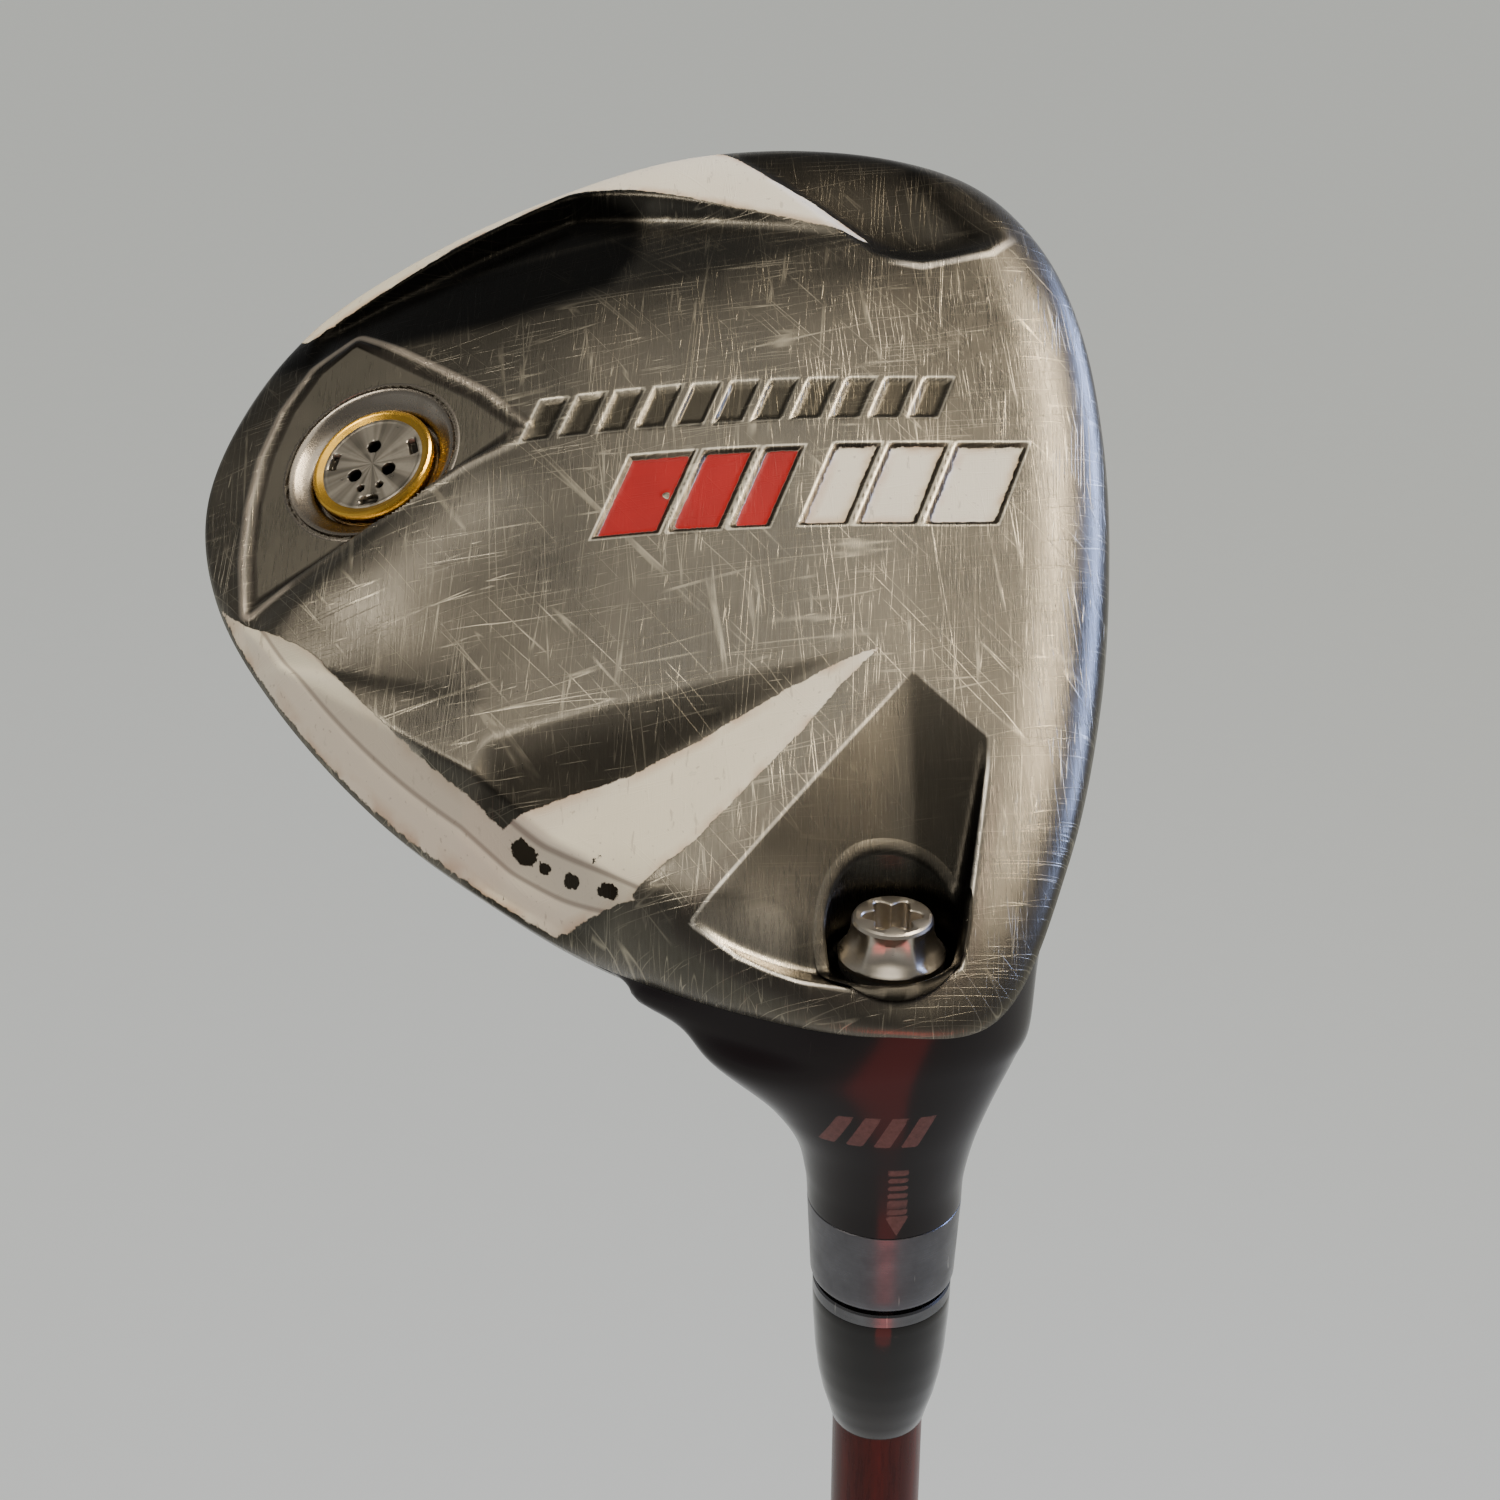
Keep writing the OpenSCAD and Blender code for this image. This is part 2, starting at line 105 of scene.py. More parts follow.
HEEL_PAINT = [
    (-0.4, 24.2), (-3.6, 22.9), (-8.6, 20.4), (-13, 17.9), (-16.5, 15.9), (-22.6, 13.1),
    (-29, 11.4), (-36.5, 9.2), (-32, 3.6), (-24.6, -0.9), (-20.8, 2.4), (-17, 5.2), (-12.4, 10.2),
    (-7.7, 15.4), (-4, 20.2),
]
TOE_PAINT = [
    (0.4, 74.5), (-6.9, 77), (-17.3, 80.9), (-23.7, 83.5), (-31, 85.6), (-42.4, 80),
    (-50, 75), (-58, 70), (-61, 73), (-50, 82), (-35, 90), (-21, 95), (-15.5, 90.5),
    (-12.6, 86.8), (-10, 83.9), (-5.9, 81.1), (-2.3, 77.4),
]
# Outline of the painted shade in the cove.
COVE_PAINTED_SHADE = [
    (-22, 82), (-31, 88), (-43, 82.6), (-59, 74.5), (-66, 67), (-56, 64), (-48, 65), (-37, 65.4),
    (-25.5, 69), (-22.5, 74),
]
# Chips in the paint: (x, y, half length, half width).
CHIPS = [(-32.2, 7.9, 1.6, 0.7), (-30.3, 6.2, 0.7, 0.4), (-27.8, 4.3, 1.0, 0.5), (-24.4, 2.2, 1.3, 0.55)]
# What each of the sole material's values is where none of its features is near.
PLAIN = {"cream": -5, "red": -5, "row": -5, "marks": -5, "chips": -5, "wear": 0, "skirt": 20, "tone": 1,
         "pocket_painted_shade": 1, "pocket": -9, "sharp": 0, "weight": -9, "rim": 0, "scoop": -9, "scoop_lip_highlight": 0}


def catmull(a, b, c, d, t):
    return 0.5 * (2 * b + (c - a) * t + (2 * a - 5 * b + 4 * c - d) * t ** 2
                  + (3 * b - a - 3 * c + d) * t ** 3)


def closed_curve(points, count):
    """count points evenly spread in parameter on a smooth closed line through the points."""
    pts = np.array(points, float)
    n = len(pts)
    u = np.arange(count) * n / count
    i = u.astype(int)
    t = (u - i)[:, None]
    return catmull(pts[i - 1], pts[i % n], pts[(i + 1) % n], pts[(i + 2) % n], t), u


def skirt_width(u):
    """Width of the skirt's facets along RIM."""
    return SKIRT_WIDTH - 1.1 * np.clip((u - 17) / 2.5, 0, 1)


def head_rim(count):
    """The head's rim, a hair smaller than nominal, with the place of each point along RIM."""
    rim, u = closed_curve(RIM, count)
    rim[:, :2] = HEAD_CENTRE + (rim[:, :2] - HEAD_CENTRE) * 0.999
    return rim, u


def to_world(x, y, h):
    """Head frame, in millimetres, to the shared frame, in metres."""
    x, y, h = np.broadcast_arrays(np.asarray(x, float), y, h)
    return np.stack([x, y * COS + h * SIN, SOLE_Z + y * SIN - h * COS], -1).reshape(-1, 3) * MM


def camber(x, y):
    return np.maximum(0, -x) ** 2 / (2 * SOLE_RADIUS_X) + (y - 38) ** 2 / (2 * SOLE_RADIUS_Y)


def smooth_min(a, b, k):
    t = np.clip(0.5 + 0.5 * (b - a) / k, 0, 1)
    return b + (a - b) * t - k * t * (1 - t)


def smooth_max(a, b, k):
    return -smooth_min(-a, -b, k)


def smooth_step(v):
    t = np.clip(v, 0, 1)
    return t * t * (3 - 2 * t)


def edge_distances(x, y, corners):
    """Distance in from each side of a convex outline; negative beyond that side."""
    middle = np.mean(np.array(corners, float), 0)
    out = []
    for a, b in zip(corners, corners[1:] + corners[:1]):
        dx, dy = b[0] - a[0], b[1] - a[1]
        size = math.hypot(dx, dy)
        inside = math.copysign(1, (middle[1] - a[1]) * dx - (middle[0] - a[0]) * dy)
        out.append(inside * ((y - a[1]) * dx - (x - a[0]) * dy) / size)
    return out


def hollow(x, y, corners, slopes, soft):
    """Depth of a hollow with sloping sides, zero outside it."""
    depth = None
    for distance, slope in zip(edge_distances(x, y, corners), slopes):
        side = distance * slope
        depth = side if depth is None else smooth_min(depth, side, soft)
    return depth


def polygon_distance(x, y, corners):
    """Distance to an outline of any shape, positive inside."""
    best = np.full(x.shape, 1e9)
    inside = np.zeros(x.shape, bool)
    for (ax, ay), (bx, by) in zip(corners, corners[1:] + corners[:1]):
        dx, dy = bx - ax, by - ay
        t = np.clip(((x - ax) * dx + (y - ay) * dy) / (dx * dx + dy * dy), 0, 1)
        best = np.minimum(best, np.hypot(x - ax - t * dx, y - ay - t * dy))
        crosses = ((ay > y) != (by > y)) & (x < ax + (y - ay) * dx / (dy if dy else 1e-9))
        inside ^= crosses
    return np.where(inside, best, -best)


def line_distance(x, y, a, b):
    """(distance to the left of a line, share of the way along it)."""
    dx, dy = b[0] - a[0], b[1] - a[1]
    size = math.hypot(dx, dy)
    return ((y - a[1]) * dx - (x - a[0]) * dy) / size, ((x - a[0]) * dx + (y - a[1]) * dy) / size ** 2


def bars(x, y, left, right, low, high, slant, count, gap, grow):
    """Distance inside a row of slanted bars whose widths grow or shrink along the row."""
    u = x - slant * (y - low)
    weights = np.array([1 + grow * i for i in range(count)], float)
    widths = weights / weights.sum() * (right - left - gap * (count - 1))
    out = np.full(x.shape, -1e9)
    start = left
    for width in widths:
        across = np.minimum(u - start, start + width - u)
        out = np.maximum(out, np.minimum(across, np.minimum(y - low, high - y)))
        start += width + gap
    return out


def weight_floor(x):
    return WEIGHT_AT[2] + (WEIGHT_SINK - math.sin(WEIGHT_LEAN) * (x - WEIGHT_AT[0])) / math.cos(WEIGHT_LEAN)


def weight_plane(x, y, h):
    """Head frame to the plane square to the weight's axis: across, along and height out of it."""
    dx, dy, dz = x - WEIGHT_AT[0], y - WEIGHT_AT[1], -(h - WEIGHT_AT[2])
    c, s = math.cos(WEIGHT_LEAN), math.sin(WEIGHT_LEAN)
    return dx * c + dz * s, dy, dz * c - dx * s


def sculpt(x, y, base):
    """Height of the sole with all its hollows and ridges, and the paint and wear masks."""
    depth = smooth_max(hollow(x, y, BOLT_POCKET, BOLT_POCKET_SLOPES, 0.9), 0 * x, 0.1)
    wedge = smooth_max(hollow(x, y, WEDGE_HOLLOW, WEDGE_HOLLOW_SLOPES, 0.5), 0 * x, 0.12)
    cove = smooth_max(hollow(x, y, COVE, COVE_SLOPES, 1.2), 0 * x, 0.15)
    scoop = hollow(x, y, TOE_SCOOP, TOE_SCOOP_SLOPES, 1.2)
    scoop = smooth_max(smooth_min(scoop, 0 * x + 2.3, 1.5), 0 * x, 0.25)
    h = base + depth + wedge + cove + scoop

    across, along = line_distance(x, y, (-34.7, 51.5), (-58, 32))
    ends = smooth_step(along / 0.25) * smooth_step((1.25 - along) / 0.3)
    width = np.where(across < 0, 2.6, 7.0)
    h = h - 1.0 * ends * np.exp(-(across / width) ** 2)

    across, along = line_distance(x, y, (-62, 31.5), (-34, 21.2))
    ends = smooth_step((1 - along) / 0.8) * smooth_step((along + 0.1) / 0.15)
    width = np.where(across > 0, 5.0, 1.1)
    h = h + 1.1 * ends * np.exp(-(across / width) ** 2)

    u, v, _ = weight_plane(x, y, weight_floor(x))
    inside = polygon_distance(u, v, WEIGHT_POCKET)
    floor = smooth_step(inside / 0.7 + 0.5)
    h = h * (1 - floor) + weight_floor(x) * floor
    h = h - 0.16 * np.exp(-((inside + 0.75) / 0.4) ** 2)

    row = bars(x, y, -34, 5.6, 50.4, 55, 0.35, 11, 1.3, 0)
    red = bars(x, y, -26.5, -10.5, 37.8, 46.6, 0.36, 3, 1.3, -0.22)
    cream = bars(x, y, -7.2, 10.6, 37.8, 46.8, 0.36, 3, 1.3, 0.3)
    marks = np.maximum(red, cream)
    h = h + 0.28 * smooth_step(row / 0.5 + 0.5) + 0.34 * smooth_step(marks / 0.5 + 0.5)
    return h, {"row": row, "red": red, "cream_mark": cream, "weight": inside, "wedge": wedge}


def soft_line(x, y, a, b, width):
    """1 on a line between two points, fading out over the width and towards both ends."""
    across, along = line_distance(x, y, a, b)
    ends = smooth_step(along / 0.12 + 0.5) * smooth_step((1 - along) / 0.12 + 0.5)
    return np.exp(-(across / width) ** 2) * ends


def painted_zone_light(x, y, wedge):
    """Painted light on the steel, 1 where plain: painted shade in the cove, scoop and hollows and over broad
    zones, with painted reflections and highlights.
    """
    # Painted shade in the cove, with painted reflection streaks across and beside it.
    cove = smooth_step((polygon_distance(x, y, COVE_PAINTED_SHADE) + 0.4) / 2.6)
    cove_reflection_streak = soft_line(x, y, (-46, 75), (-21, 79), 0.5)
    tone = 1 - 0.93 * cove * (1 - 0.25 * cove_reflection_streak)
    tone = tone + 0.35 * soft_line(x, y, (-22.5, 82), (-21.5, 78), 1.3)
    scoop = smooth_step((polygon_distance(x, y, TOE_SCOOP) + 0.2) / 0.9)
    facet_shade = soft_line(x, y, (4.5, 86), (11, 75), 1.5)
    # Painted shade towards the toe, towards the heel, near the leading edge, in the scoop with a darker
    # facet, along the wedge's hollow and round a spot at the heel.
    for dimming in (
            0.46 * smooth_step((y - 60 - 0.12 * x) / 12) * smooth_step((10 - x) / 8),
            0.14 * smooth_step((46 - y) / 14),
            0.17 * smooth_step(x / 6) * smooth_step((15 - x) / 5),
            scoop * (0.55 + 0.3 * facet_shade),
            0.5 * smooth_step(wedge / 1.1),
            0.3 * smooth_step((8 - np.hypot((x + 30) / 2.2, y - 14)) / 8)):
        tone = tone * (1 - dimming)
    # Painted highlights along a ridge and on a spot at the back of the heel.
    ridge_highlight = soft_line(x, y, (-56, 29), (-36, 42), 3.6)
    spot_highlight = soft_line(x, y, (-48.5, 21.5), (-42.5, 15.5), 1.5)
    return np.maximum(tone + 0.05 * ridge_highlight + 0.7 * spot_highlight, 0.03)


def painted_pocket_light(x, y):
    """Painted light in the bolt's pocket: painted shade on the left facet with a painted highlight towards
    its lower left, and deeper painted shade on the right facet.
    """
    lit = smooth_step((-2 - x) / 9) * smooth_step((6 - y) / 9)
    left = 0.43 + 1.0 * lit + 0.1 * smooth_step((y - 8) / 10)
    right = 0.17 + 0.12 * smooth_step((y - 10) / 10)
    share = smooth_step((x - 1.5) / 1.1)
    return left * (1 - share) + right * share


# ---------------------------------------------------------------- mesh helpers
def add_object(name, data):
    """Puts data in the scene as an object."""
    obj = bpy.data.objects.new(name, data)
    bpy.context.scene.collection.objects.link(obj)
    return obj


def make_mesh(name, points, faces, smooth=True):
    mesh = bpy.data.meshes.new(name)
    mesh.from_pydata([tuple(p) for p in points], [], faces)
    mesh.update()
    mesh.polygons.foreach_set("use_smooth", [smooth] * len(mesh.polygons))
    return add_object(name, mesh)


def turn_angles(count):
    """Evenly spaced angles of one turn."""
    return np.arange(count) * 2 * math.pi / count


def grid_faces(rows, cols, wrap=True, flip=False):
    """Quads between loops of cols points, counted loop by loop."""
    last = cols if wrap else cols - 1
    faces = [
        (j * cols + i, j * cols + (i + 1) % cols, (j + 1) * cols + (i + 1) % cols, (j + 1) * cols + i)
        for j in range(rows - 1) for i in range(last)
    ]
    return [face[::-1] for face in faces] if flip else faces


def loop_points(loops, angle):
    """Across, along and out for loops of (radius, height), each one number or a value for each angle."""
    across = np.concatenate([r * np.cos(angle) for r, _ in loops])
    along = np.concatenate([r * np.sin(angle) for r, _ in loops])
    return across, along, np.concatenate([z + 0 * angle for _, z in loops])


def add_attribute(obj, name, values):
    layer = obj.data.attributes.new(name, "FLOAT", "POINT")
    layer.data.foreach_set("value", np.asarray(values, np.float32).ravel())


def add_plan(obj, x, y, h):
    """Head-frame place of each point, in millimetres, for the materials."""
    layer = obj.data.attributes.new("plan", "FLOAT_VECTOR", "POINT")
    x, y, h = np.broadcast_arrays(np.asarray(x, float), y, h)
    layer.data.foreach_set("vector", np.stack([x, y, h], -1).astype(np.float32).ravel())


def place(obj, body, material, replaced=()):
    obj.data.materials.append(material)
    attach(obj, body)
    if replaced:
        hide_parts(*replaced)
    return obj


def crisp(obj, angle=35):
    """Smooth shading with sharp edges kept."""
    obj.data.set_sharp_from_angle(angle=math.radians(angle))
    return obj


def fine_profile(profile, step):
    """The same outline with points added along its long sides."""
    out = [profile[0]]
    for a, b in zip(profile, profile[1:]):
        count = max(1, int(math.dist(a, b) / step))
        out += [(a[0] + (b[0] - a[0]) * k / count, a[1] + (b[1] - a[1]) * k / count)
                for k in range(1, count + 1)]
    return out


def axis_frame(kind):
    """Function from (across, along, out) in millimetres to the shared frame in metres."""
    if kind == "shaft":
        return lambda a, b, z: np.stack([a, b, SOLE_Z + z], -1) * MM
    c, s = math.cos(WEIGHT_LEAN), math.sin(WEIGHT_LEAN)
    return lambda a, b, z: to_world(
        WEIGHT_AT[0] + a * c - z * s, WEIGHT_AT[1] + b, WEIGHT_AT[2] - (a * s + z * c))


def lathe(name, profile, kind="shaft", count=96):
    """Turns (radius, height) points about the shaft's or the weight's axis."""
    points = axis_frame(kind)(*loop_points(profile, turn_angles(count)))
    return crisp(make_mesh(name, points, grid_faces(len(profile), count, flip=True)))


# ---------------------------------------------------------------- node helpers
class Nodes:
    """Short calls for building one material's node tree."""

    def __init__(self, name):
        self.material = bpy.data.materials.new(name)
        self.material.use_nodes = True
        self.tree = self.material.node_tree
        self.tree.nodes.clear()
        output = self.new("OutputMaterial")
        self.shader = self.new("BsdfPrincipled")
        self.link(self.shader.outputs[0], output.inputs[0])

    def link(self, a, b):
        self.tree.links.new(a, b)

    def new(self, kind, **settings):
        node = self.tree.nodes.new("ShaderNode" + kind)
        for key, value in settings.items():
            setattr(node, key, value)
        return node

    def put(self, socket, value):
        if hasattr(value, "is_output"):
            self.link(value, socket)
        else:
            socket.default_value = value

    def fill(self, node, **values):
        """Sets or links a node's inputs by name, with _ for a space."""
        for key, value in values.items():
            self.put(node.inputs[key.replace("_", " ")], value)
        return node

    def set(self, **values):
        self.fill(self.shader, **values)

    def attribute(self, name, output="Fac"):
        return self.new("Attribute", attribute_name=name).outputs[output]

    def plan(self):
        return self.attribute("plan", "Vector")

    def place(self):
        """Shared-frame place in millimetres."""
        return self.mapping(self.new("TexCoord").outputs["Object"], scale=(1000, 1000, 1000))

    def mapping(self, vector, scale=(1, 1, 1), turn=0, shift=(0, 0, 0)):
        """Vector scaled, turned in plan by so many degrees and shifted."""
        node = self.fill(self.new("Mapping"), Vector=vector, Scale=scale, Location=shift,
                         Rotation=(0, 0, math.radians(turn)))
        return node.outputs[0]

    def noise(self, vector, scale, detail=4, rough=0.5):
        node = self.fill(self.new("TexNoise"), Vector=vector, Scale=scale, Detail=detail, Roughness=rough)
        return node.outputs["Fac"]

    def math(self, kind, a, b=0.0):
        node = self.new("Math", operation=kind)
        self.put(node.inputs[0], a)
        self.put(node.inputs[1], b)
        return node.outputs[0]

    def times(self, a, b):
        return self.math("MULTIPLY", a, b)

    def plus(self, a, b):
        return self.math("ADD", a, b)

    def minus(self, a, b):
        return self.math("SUBTRACT", a, b)

    def larger(self, a, b):
        return self.math("MAXIMUM", a, b)

    def band(self, value, low, high, to_low=0.0, to_high=1.0):
        """Value mapped from one range to another, with the ends held."""
        node = self.fill(self.new("MapRange", clamp=True), Value=value, From_Min=low, From_Max=high,
                         To_Min=to_low, To_Max=to_high)
        return node.outputs[0]

    def mix(self, share, a, b):
        node = self.new("Mix", data_type="RGBA")
        self.put(node.inputs[0], share)
        self.put(node.inputs[6], a if hasattr(a, "is_output") else (*a, 1))
        self.put(node.inputs[7], b if hasattr(b, "is_output") else (*b, 1))
        return node.outputs[2]

    def layers(self, colour, *layers):
        """Colour with (mask, strength, colour) layers laid over it in turn."""
        for mask, strength, tint in layers:
            colour = self.mix(self.times(mask, strength), colour, tint)
        return colour

    def blend(self, share, a, b):
        node = self.new("Mix", data_type="FLOAT")
        self.put(node.inputs[0], share)
        self.put(node.inputs[2], a)
        self.put(node.inputs[3], b)
        return node.outputs[0]

    def scaled(self, colour, factor):
        node = self.new("VectorMath", operation="SCALE")
        self.put(node.inputs[0], colour)
        self.put(node.inputs["Scale"], factor)
        return node.outputs[0]

    def bump(self, height, strength, distance):
        return self.fill(self.new("Bump"), Height=height, Strength=strength, Distance=distance).outputs[0]

    def scratches(self, vector, turn, spacing, length, cut):
        """Thin straight scratches in one direction, from stretched noise."""
        turned = self.mapping(vector, turn=turn)
        lines = self.noise(self.mapping(turned, scale=(1 / spacing, 1 / length, 0.2)), 1, 2)
        return self.band(lines, cut, cut + 0.05)

    def line(self, distance, at, half):
        """1 on a thin line that runs a set distance inside an outline."""
        return self.band(self.math("ABSOLUTE", self.minus(distance, at)), half, half * 0.3)


def hairlines(n, vector, turn, spacing, length, width, shift):
    """Thin long scratches: the level lines of a stretched noise, broken up by a coarser one."""
    turned = n.mapping(vector, turn=turn, shift=(shift, 0, 0))
    field = n.noise(n.mapping(turned, scale=(1 / spacing, 1 / length, 0.1)), 1, 0)
    line = n.band(n.math("ABSOLUTE", n.minus(field, 0.5)), width, 0.0)
    patches = n.noise(n.mapping(turned, scale=(0.3, 0.12, 0.1)), 1, 3, 0.6)
    return n.times(line, n.band(patches, 0.45, 0.6))


def brushed_steel(n, vector, base, dark, rough, exposed=1.0):
    """Satin steel's colour, roughness and height: brushing, dirt, and scratches where exposed."""
    brush = n.noise(n.mapping(vector, turn=3, scale=(7, 0.22, 1)), 1, 4, 0.65)
    cross = n.noise(n.mapping(vector, turn=80, scale=(6, 0.28, 1)), 1, 4, 0.65)
    cloud = n.noise(vector, 0.06, 5, 0.6)
    fine = n.blend(n.band(cloud, 0.47, 0.6), brush, cross)
    marks = n.larger(n.scratches(vector, 6, 0.2, 4, 0.69), n.scratches(vector, 83, 0.24, 5, 0.70))
    for turn, spacing, length, width, shift in (
            (4, 0.6, 46, 0.022, 0), (-5, 0.8, 60, 0.018, 40), (86, 0.9, 50, 0.018, 80),
            (76, 1.2, 70, 0.014, 120), (-38, 1.5, 80, 0.011, 160)):
        marks = n.larger(marks, hairlines(n, vector, turn, spacing, length, width, shift))
    marks = n.times(marks, exposed)
    colour = n.mix(n.band(cloud, 0.35, 0.65), dark, base)
    colour = n.mix(n.band(fine, 0.3, 0.7, 0, 0.5), colour, [c * 0.5 for c in base])
    colour = n.layers(colour, (marks, 0.42, (0.80, 0.72, 0.55)))
    roughness = n.plus(n.band(fine, 0.3, 0.7, rough - 0.05, rough + 0.07),
                       n.band(cloud, 0.35, 0.65, -0.03, 0.05))
    return colour, roughness, n.plus(n.times(fine, 0.8), n.times(marks, -0.5))


def chipped(n, distance, vector, ragged):
    """1 inside a painted region with a worn, ragged edge, from the distance inside it."""
    grain = n.minus(n.noise(vector, 0.9, 5, 0.7), 0.5)
    return n.band(n.plus(distance, n.times(grain, ragged * 4)), -0.03, 0.06)



def painted_steel_light(n, colour):
    """Painted highlights on the lips, painted shade along the walls beside them, and the painted shade and
    highlights of the zones and pockets over the plain steel, with a lighter floor in the weight's pocket.
    """
    pocket, weight, sharp = n.attribute("pocket"), n.attribute("weight"), n.attribute("sharp")
    in_pocket = n.blend(n.band(pocket, -0.1, 0.15), 1.0, n.attribute("pocket_painted_shade"))
    shade = n.times(n.attribute("tone"), in_pocket)
    # Painted shade scales the steel down; values over 1 lay a warm painted highlight over it.
    colour = n.mix(n.band(shade, 1.0, 1.6), n.scaled(colour, n.band(shade, 0, 1)), (0.95, 0.86, 0.70))
    # Painted shade beside the bolt pocket's edge and a painted highlight on its lip, painted shade on the
    # weight pocket's wall and a painted highlight on its lip, a lighter weight-pocket floor, and a painted
    # highlight on the scoop's lower lip.
    return n.layers(
        colour,
        (n.times(n.line(pocket, -0.9, 0.9), sharp), 0.45, (0.09, 0.075, 0.065)),
        (n.times(n.line(pocket, -0.02, 0.22), sharp), 0.8, (0.97, 0.90, 0.78)),
        (n.line(weight, 0.35, 0.6), 0.72, (0.05, 0.042, 0.035)),
        (n.times(n.line(weight, -0.75, 0.55), n.attribute("rim")), 0.7, (0.86, 0.74, 0.60)),
        (n.band(weight, 0.8, 1.0), 0.8, (0.25, 0.228, 0.18)),
        (n.times(n.line(n.attribute("scoop"), -0.5, 0.6), n.attribute("scoop_lip_highlight")), 0.75,
         (0.92, 0.86, 0.76)))


def cream_paint(n, plan, cream_at, skirt):
    """Aged cream paint: stained edges and specks, with painted shadow along the skirt's creases and painted
    shade on its inner facet strip.
    """
    stain = n.times(n.band(cream_at, 1.0, 0.0), n.band(n.noise(plan, 0.25, 3), 0.42, 0.58))
    shade = n.band(n.noise(plan, 0.12, 3), 0.35, 0.65)
    streaks = n.band(n.noise(n.mapping(plan, turn=42, scale=(1.6, 0.3, 1)), 1, 3, 0.6), 0.64, 0.7)
    specks = n.band(n.noise(plan, 1.6, 2), 0.70, 0.73)
    shaded_strip = n.times(n.band(skirt, 2.9, 3.4), n.band(skirt, 6.6, 6.2))
    crease_shadow = n.larger(n.line(skirt, 3.05, 0.3), n.line(skirt, 6.05, 0.34))
    paint = n.layers(
        (0.80, 0.745, 0.60), (stain, 0.6, (0.46, 0.25, 0.11)), (shade, 0.3, (0.70, 0.65, 0.525)),
        (n.larger(specks, streaks), 0.4, (0.30, 0.25, 0.18)), (shaded_strip, 0.6, (0.44, 0.42, 0.345)),
        (crease_shadow, 0.65, (0.15, 0.12, 0.11)))
    return paint, shade


def sole_material():
    """Worn satin steel with pressed bars, red and cream paint and chips."""
    n = Nodes("sole_steel")
    plan, row, outline, cream_at = n.plan(), n.attribute("row"), n.attribute("marks"), n.attribute("cream")
    sunk = n.larger(n.band(n.attribute("pocket"), -0.1, 0.4), n.band(n.attribute("weight"), 0, 0.6))
    colour, roughness, height = brushed_steel(
        n, plan, (0.200, 0.181, 0.146), (0.142, 0.132, 0.112), 0.28, n.band(sunk, 0, 1, 1, 0.22))

    flakes = n.band(n.noise(n.mapping(plan, scale=(1, 1, 0.3)), 0.5, 5, 0.62), 0.68, 0.69)
    ragged = n.times(n.minus(n.noise(plan, 1.1, 4, 0.7), 0.5), 0.7)
    chips = n.band(n.plus(n.attribute("chips"), ragged), 0.0, 0.05)
    cream = n.times(chipped(n, cream_at, plan, 0.18), n.minus(1, n.times(flakes, n.attribute("wear"))))
    cream = n.times(cream, n.minus(1, chips))
    red = chipped(n, n.minus(n.attribute("red"), 0.12), plan, 0.06)
    painted = n.larger(cream, red)
    paint, shade = cream_paint(n, plan, cream_at, n.attribute("skirt"))
    paint = n.mix(red, paint, n.mix(shade, (0.38, 0.006, 0.006), (0.30, 0.005, 0.005)))

    border = n.times(n.band(outline, -0.4, -0.1), n.band(outline, 0.3, 0.05))
    colour = n.layers(
        painted_steel_light(n, colour), (n.band(row, -0.15, 0.2), 0.8, (0.05, 0.044, 0.032)),
        (n.line(row, -0.28, 0.16), 0.4, (0.8, 0.74, 0.6)), (chips, 1.0, (0.035, 0.028, 0.02)),
        (border, 0.75, (0.05, 0.038, 0.028)), (n.line(outline, -0.42, 0.16), 0.5, (0.9, 0.83, 0.68)))
    n.set(Base_Color=n.mix(painted, colour, paint), Metallic=n.minus(1, painted),
          Specular_IOR_Level=n.band(painted, 0, 1, 0.5, 0.28), Roughness=n.blend(painted, roughness, 0.45),
          Normal=n.bump(n.plus(height, n.times(painted, 1.6)), 0.4, 0.00006))
    return n.material


def gloss_black(name, coat):
    """Gloss black paint or plastic with a little dust and a few fine scratches."""
    n = Nodes(name)
    place_mm = n.place()
    hair = n.scratches(place_mm, 12, 0.25, 6, 0.76)
    dust = n.band(n.noise(place_mm, 1.3, 3, 0.6), 0.66, 0.72)
    marks = n.larger(n.times(hair, 0.5), n.times(dust, 0.3))
    cloud = n.noise(place_mm, 0.08, 3)
    n.set(Base_Color=n.layers((0.004, 0.003, 0.0032), (marks, 0.12, (0.3, 0.26, 0.24))),
          Roughness=n.plus(n.band(cloud, 0.3, 0.7, 0.12, 0.2), n.times(marks, 0.3)),
          Normal=n.bump(n.noise(place_mm, 0.35, 2), 0.06, 0.0002),
          Specular_IOR_Level=0.3, Coat_Weight=coat, Coat_Roughness=0.08)
    return n.material


def neck_material():
    """Gloss black with dusty pink-grey marks."""
    n = Nodes("neck_black")
    place_mm = n.place()
    hair = n.scratches(place_mm, 12, 0.25, 6, 0.76)
    cloud = n.noise(place_mm, 0.08, 3)
    grain = n.band(n.noise(place_mm, 2.2, 4, 0.7), 0.3, 0.7, 0.5, 1)
    mark = n.times(n.band(n.attribute("mark"), -0.04, 0.06), grain)
    colour = n.layers((0.007, 0.004, 0.005), (hair, 0.06, (0.3, 0.26, 0.24)))
    n.set(Base_Color=n.mix(mark, colour, (0.16, 0.075, 0.07)), Specular_IOR_Level=0.32,
          Roughness=n.blend(mark, n.band(cloud, 0.3, 0.7, 0.17, 0.25), 0.5),
          Normal=n.bump(n.noise(place_mm, 0.35, 2), 0.06, 0.0002))
    return n.material


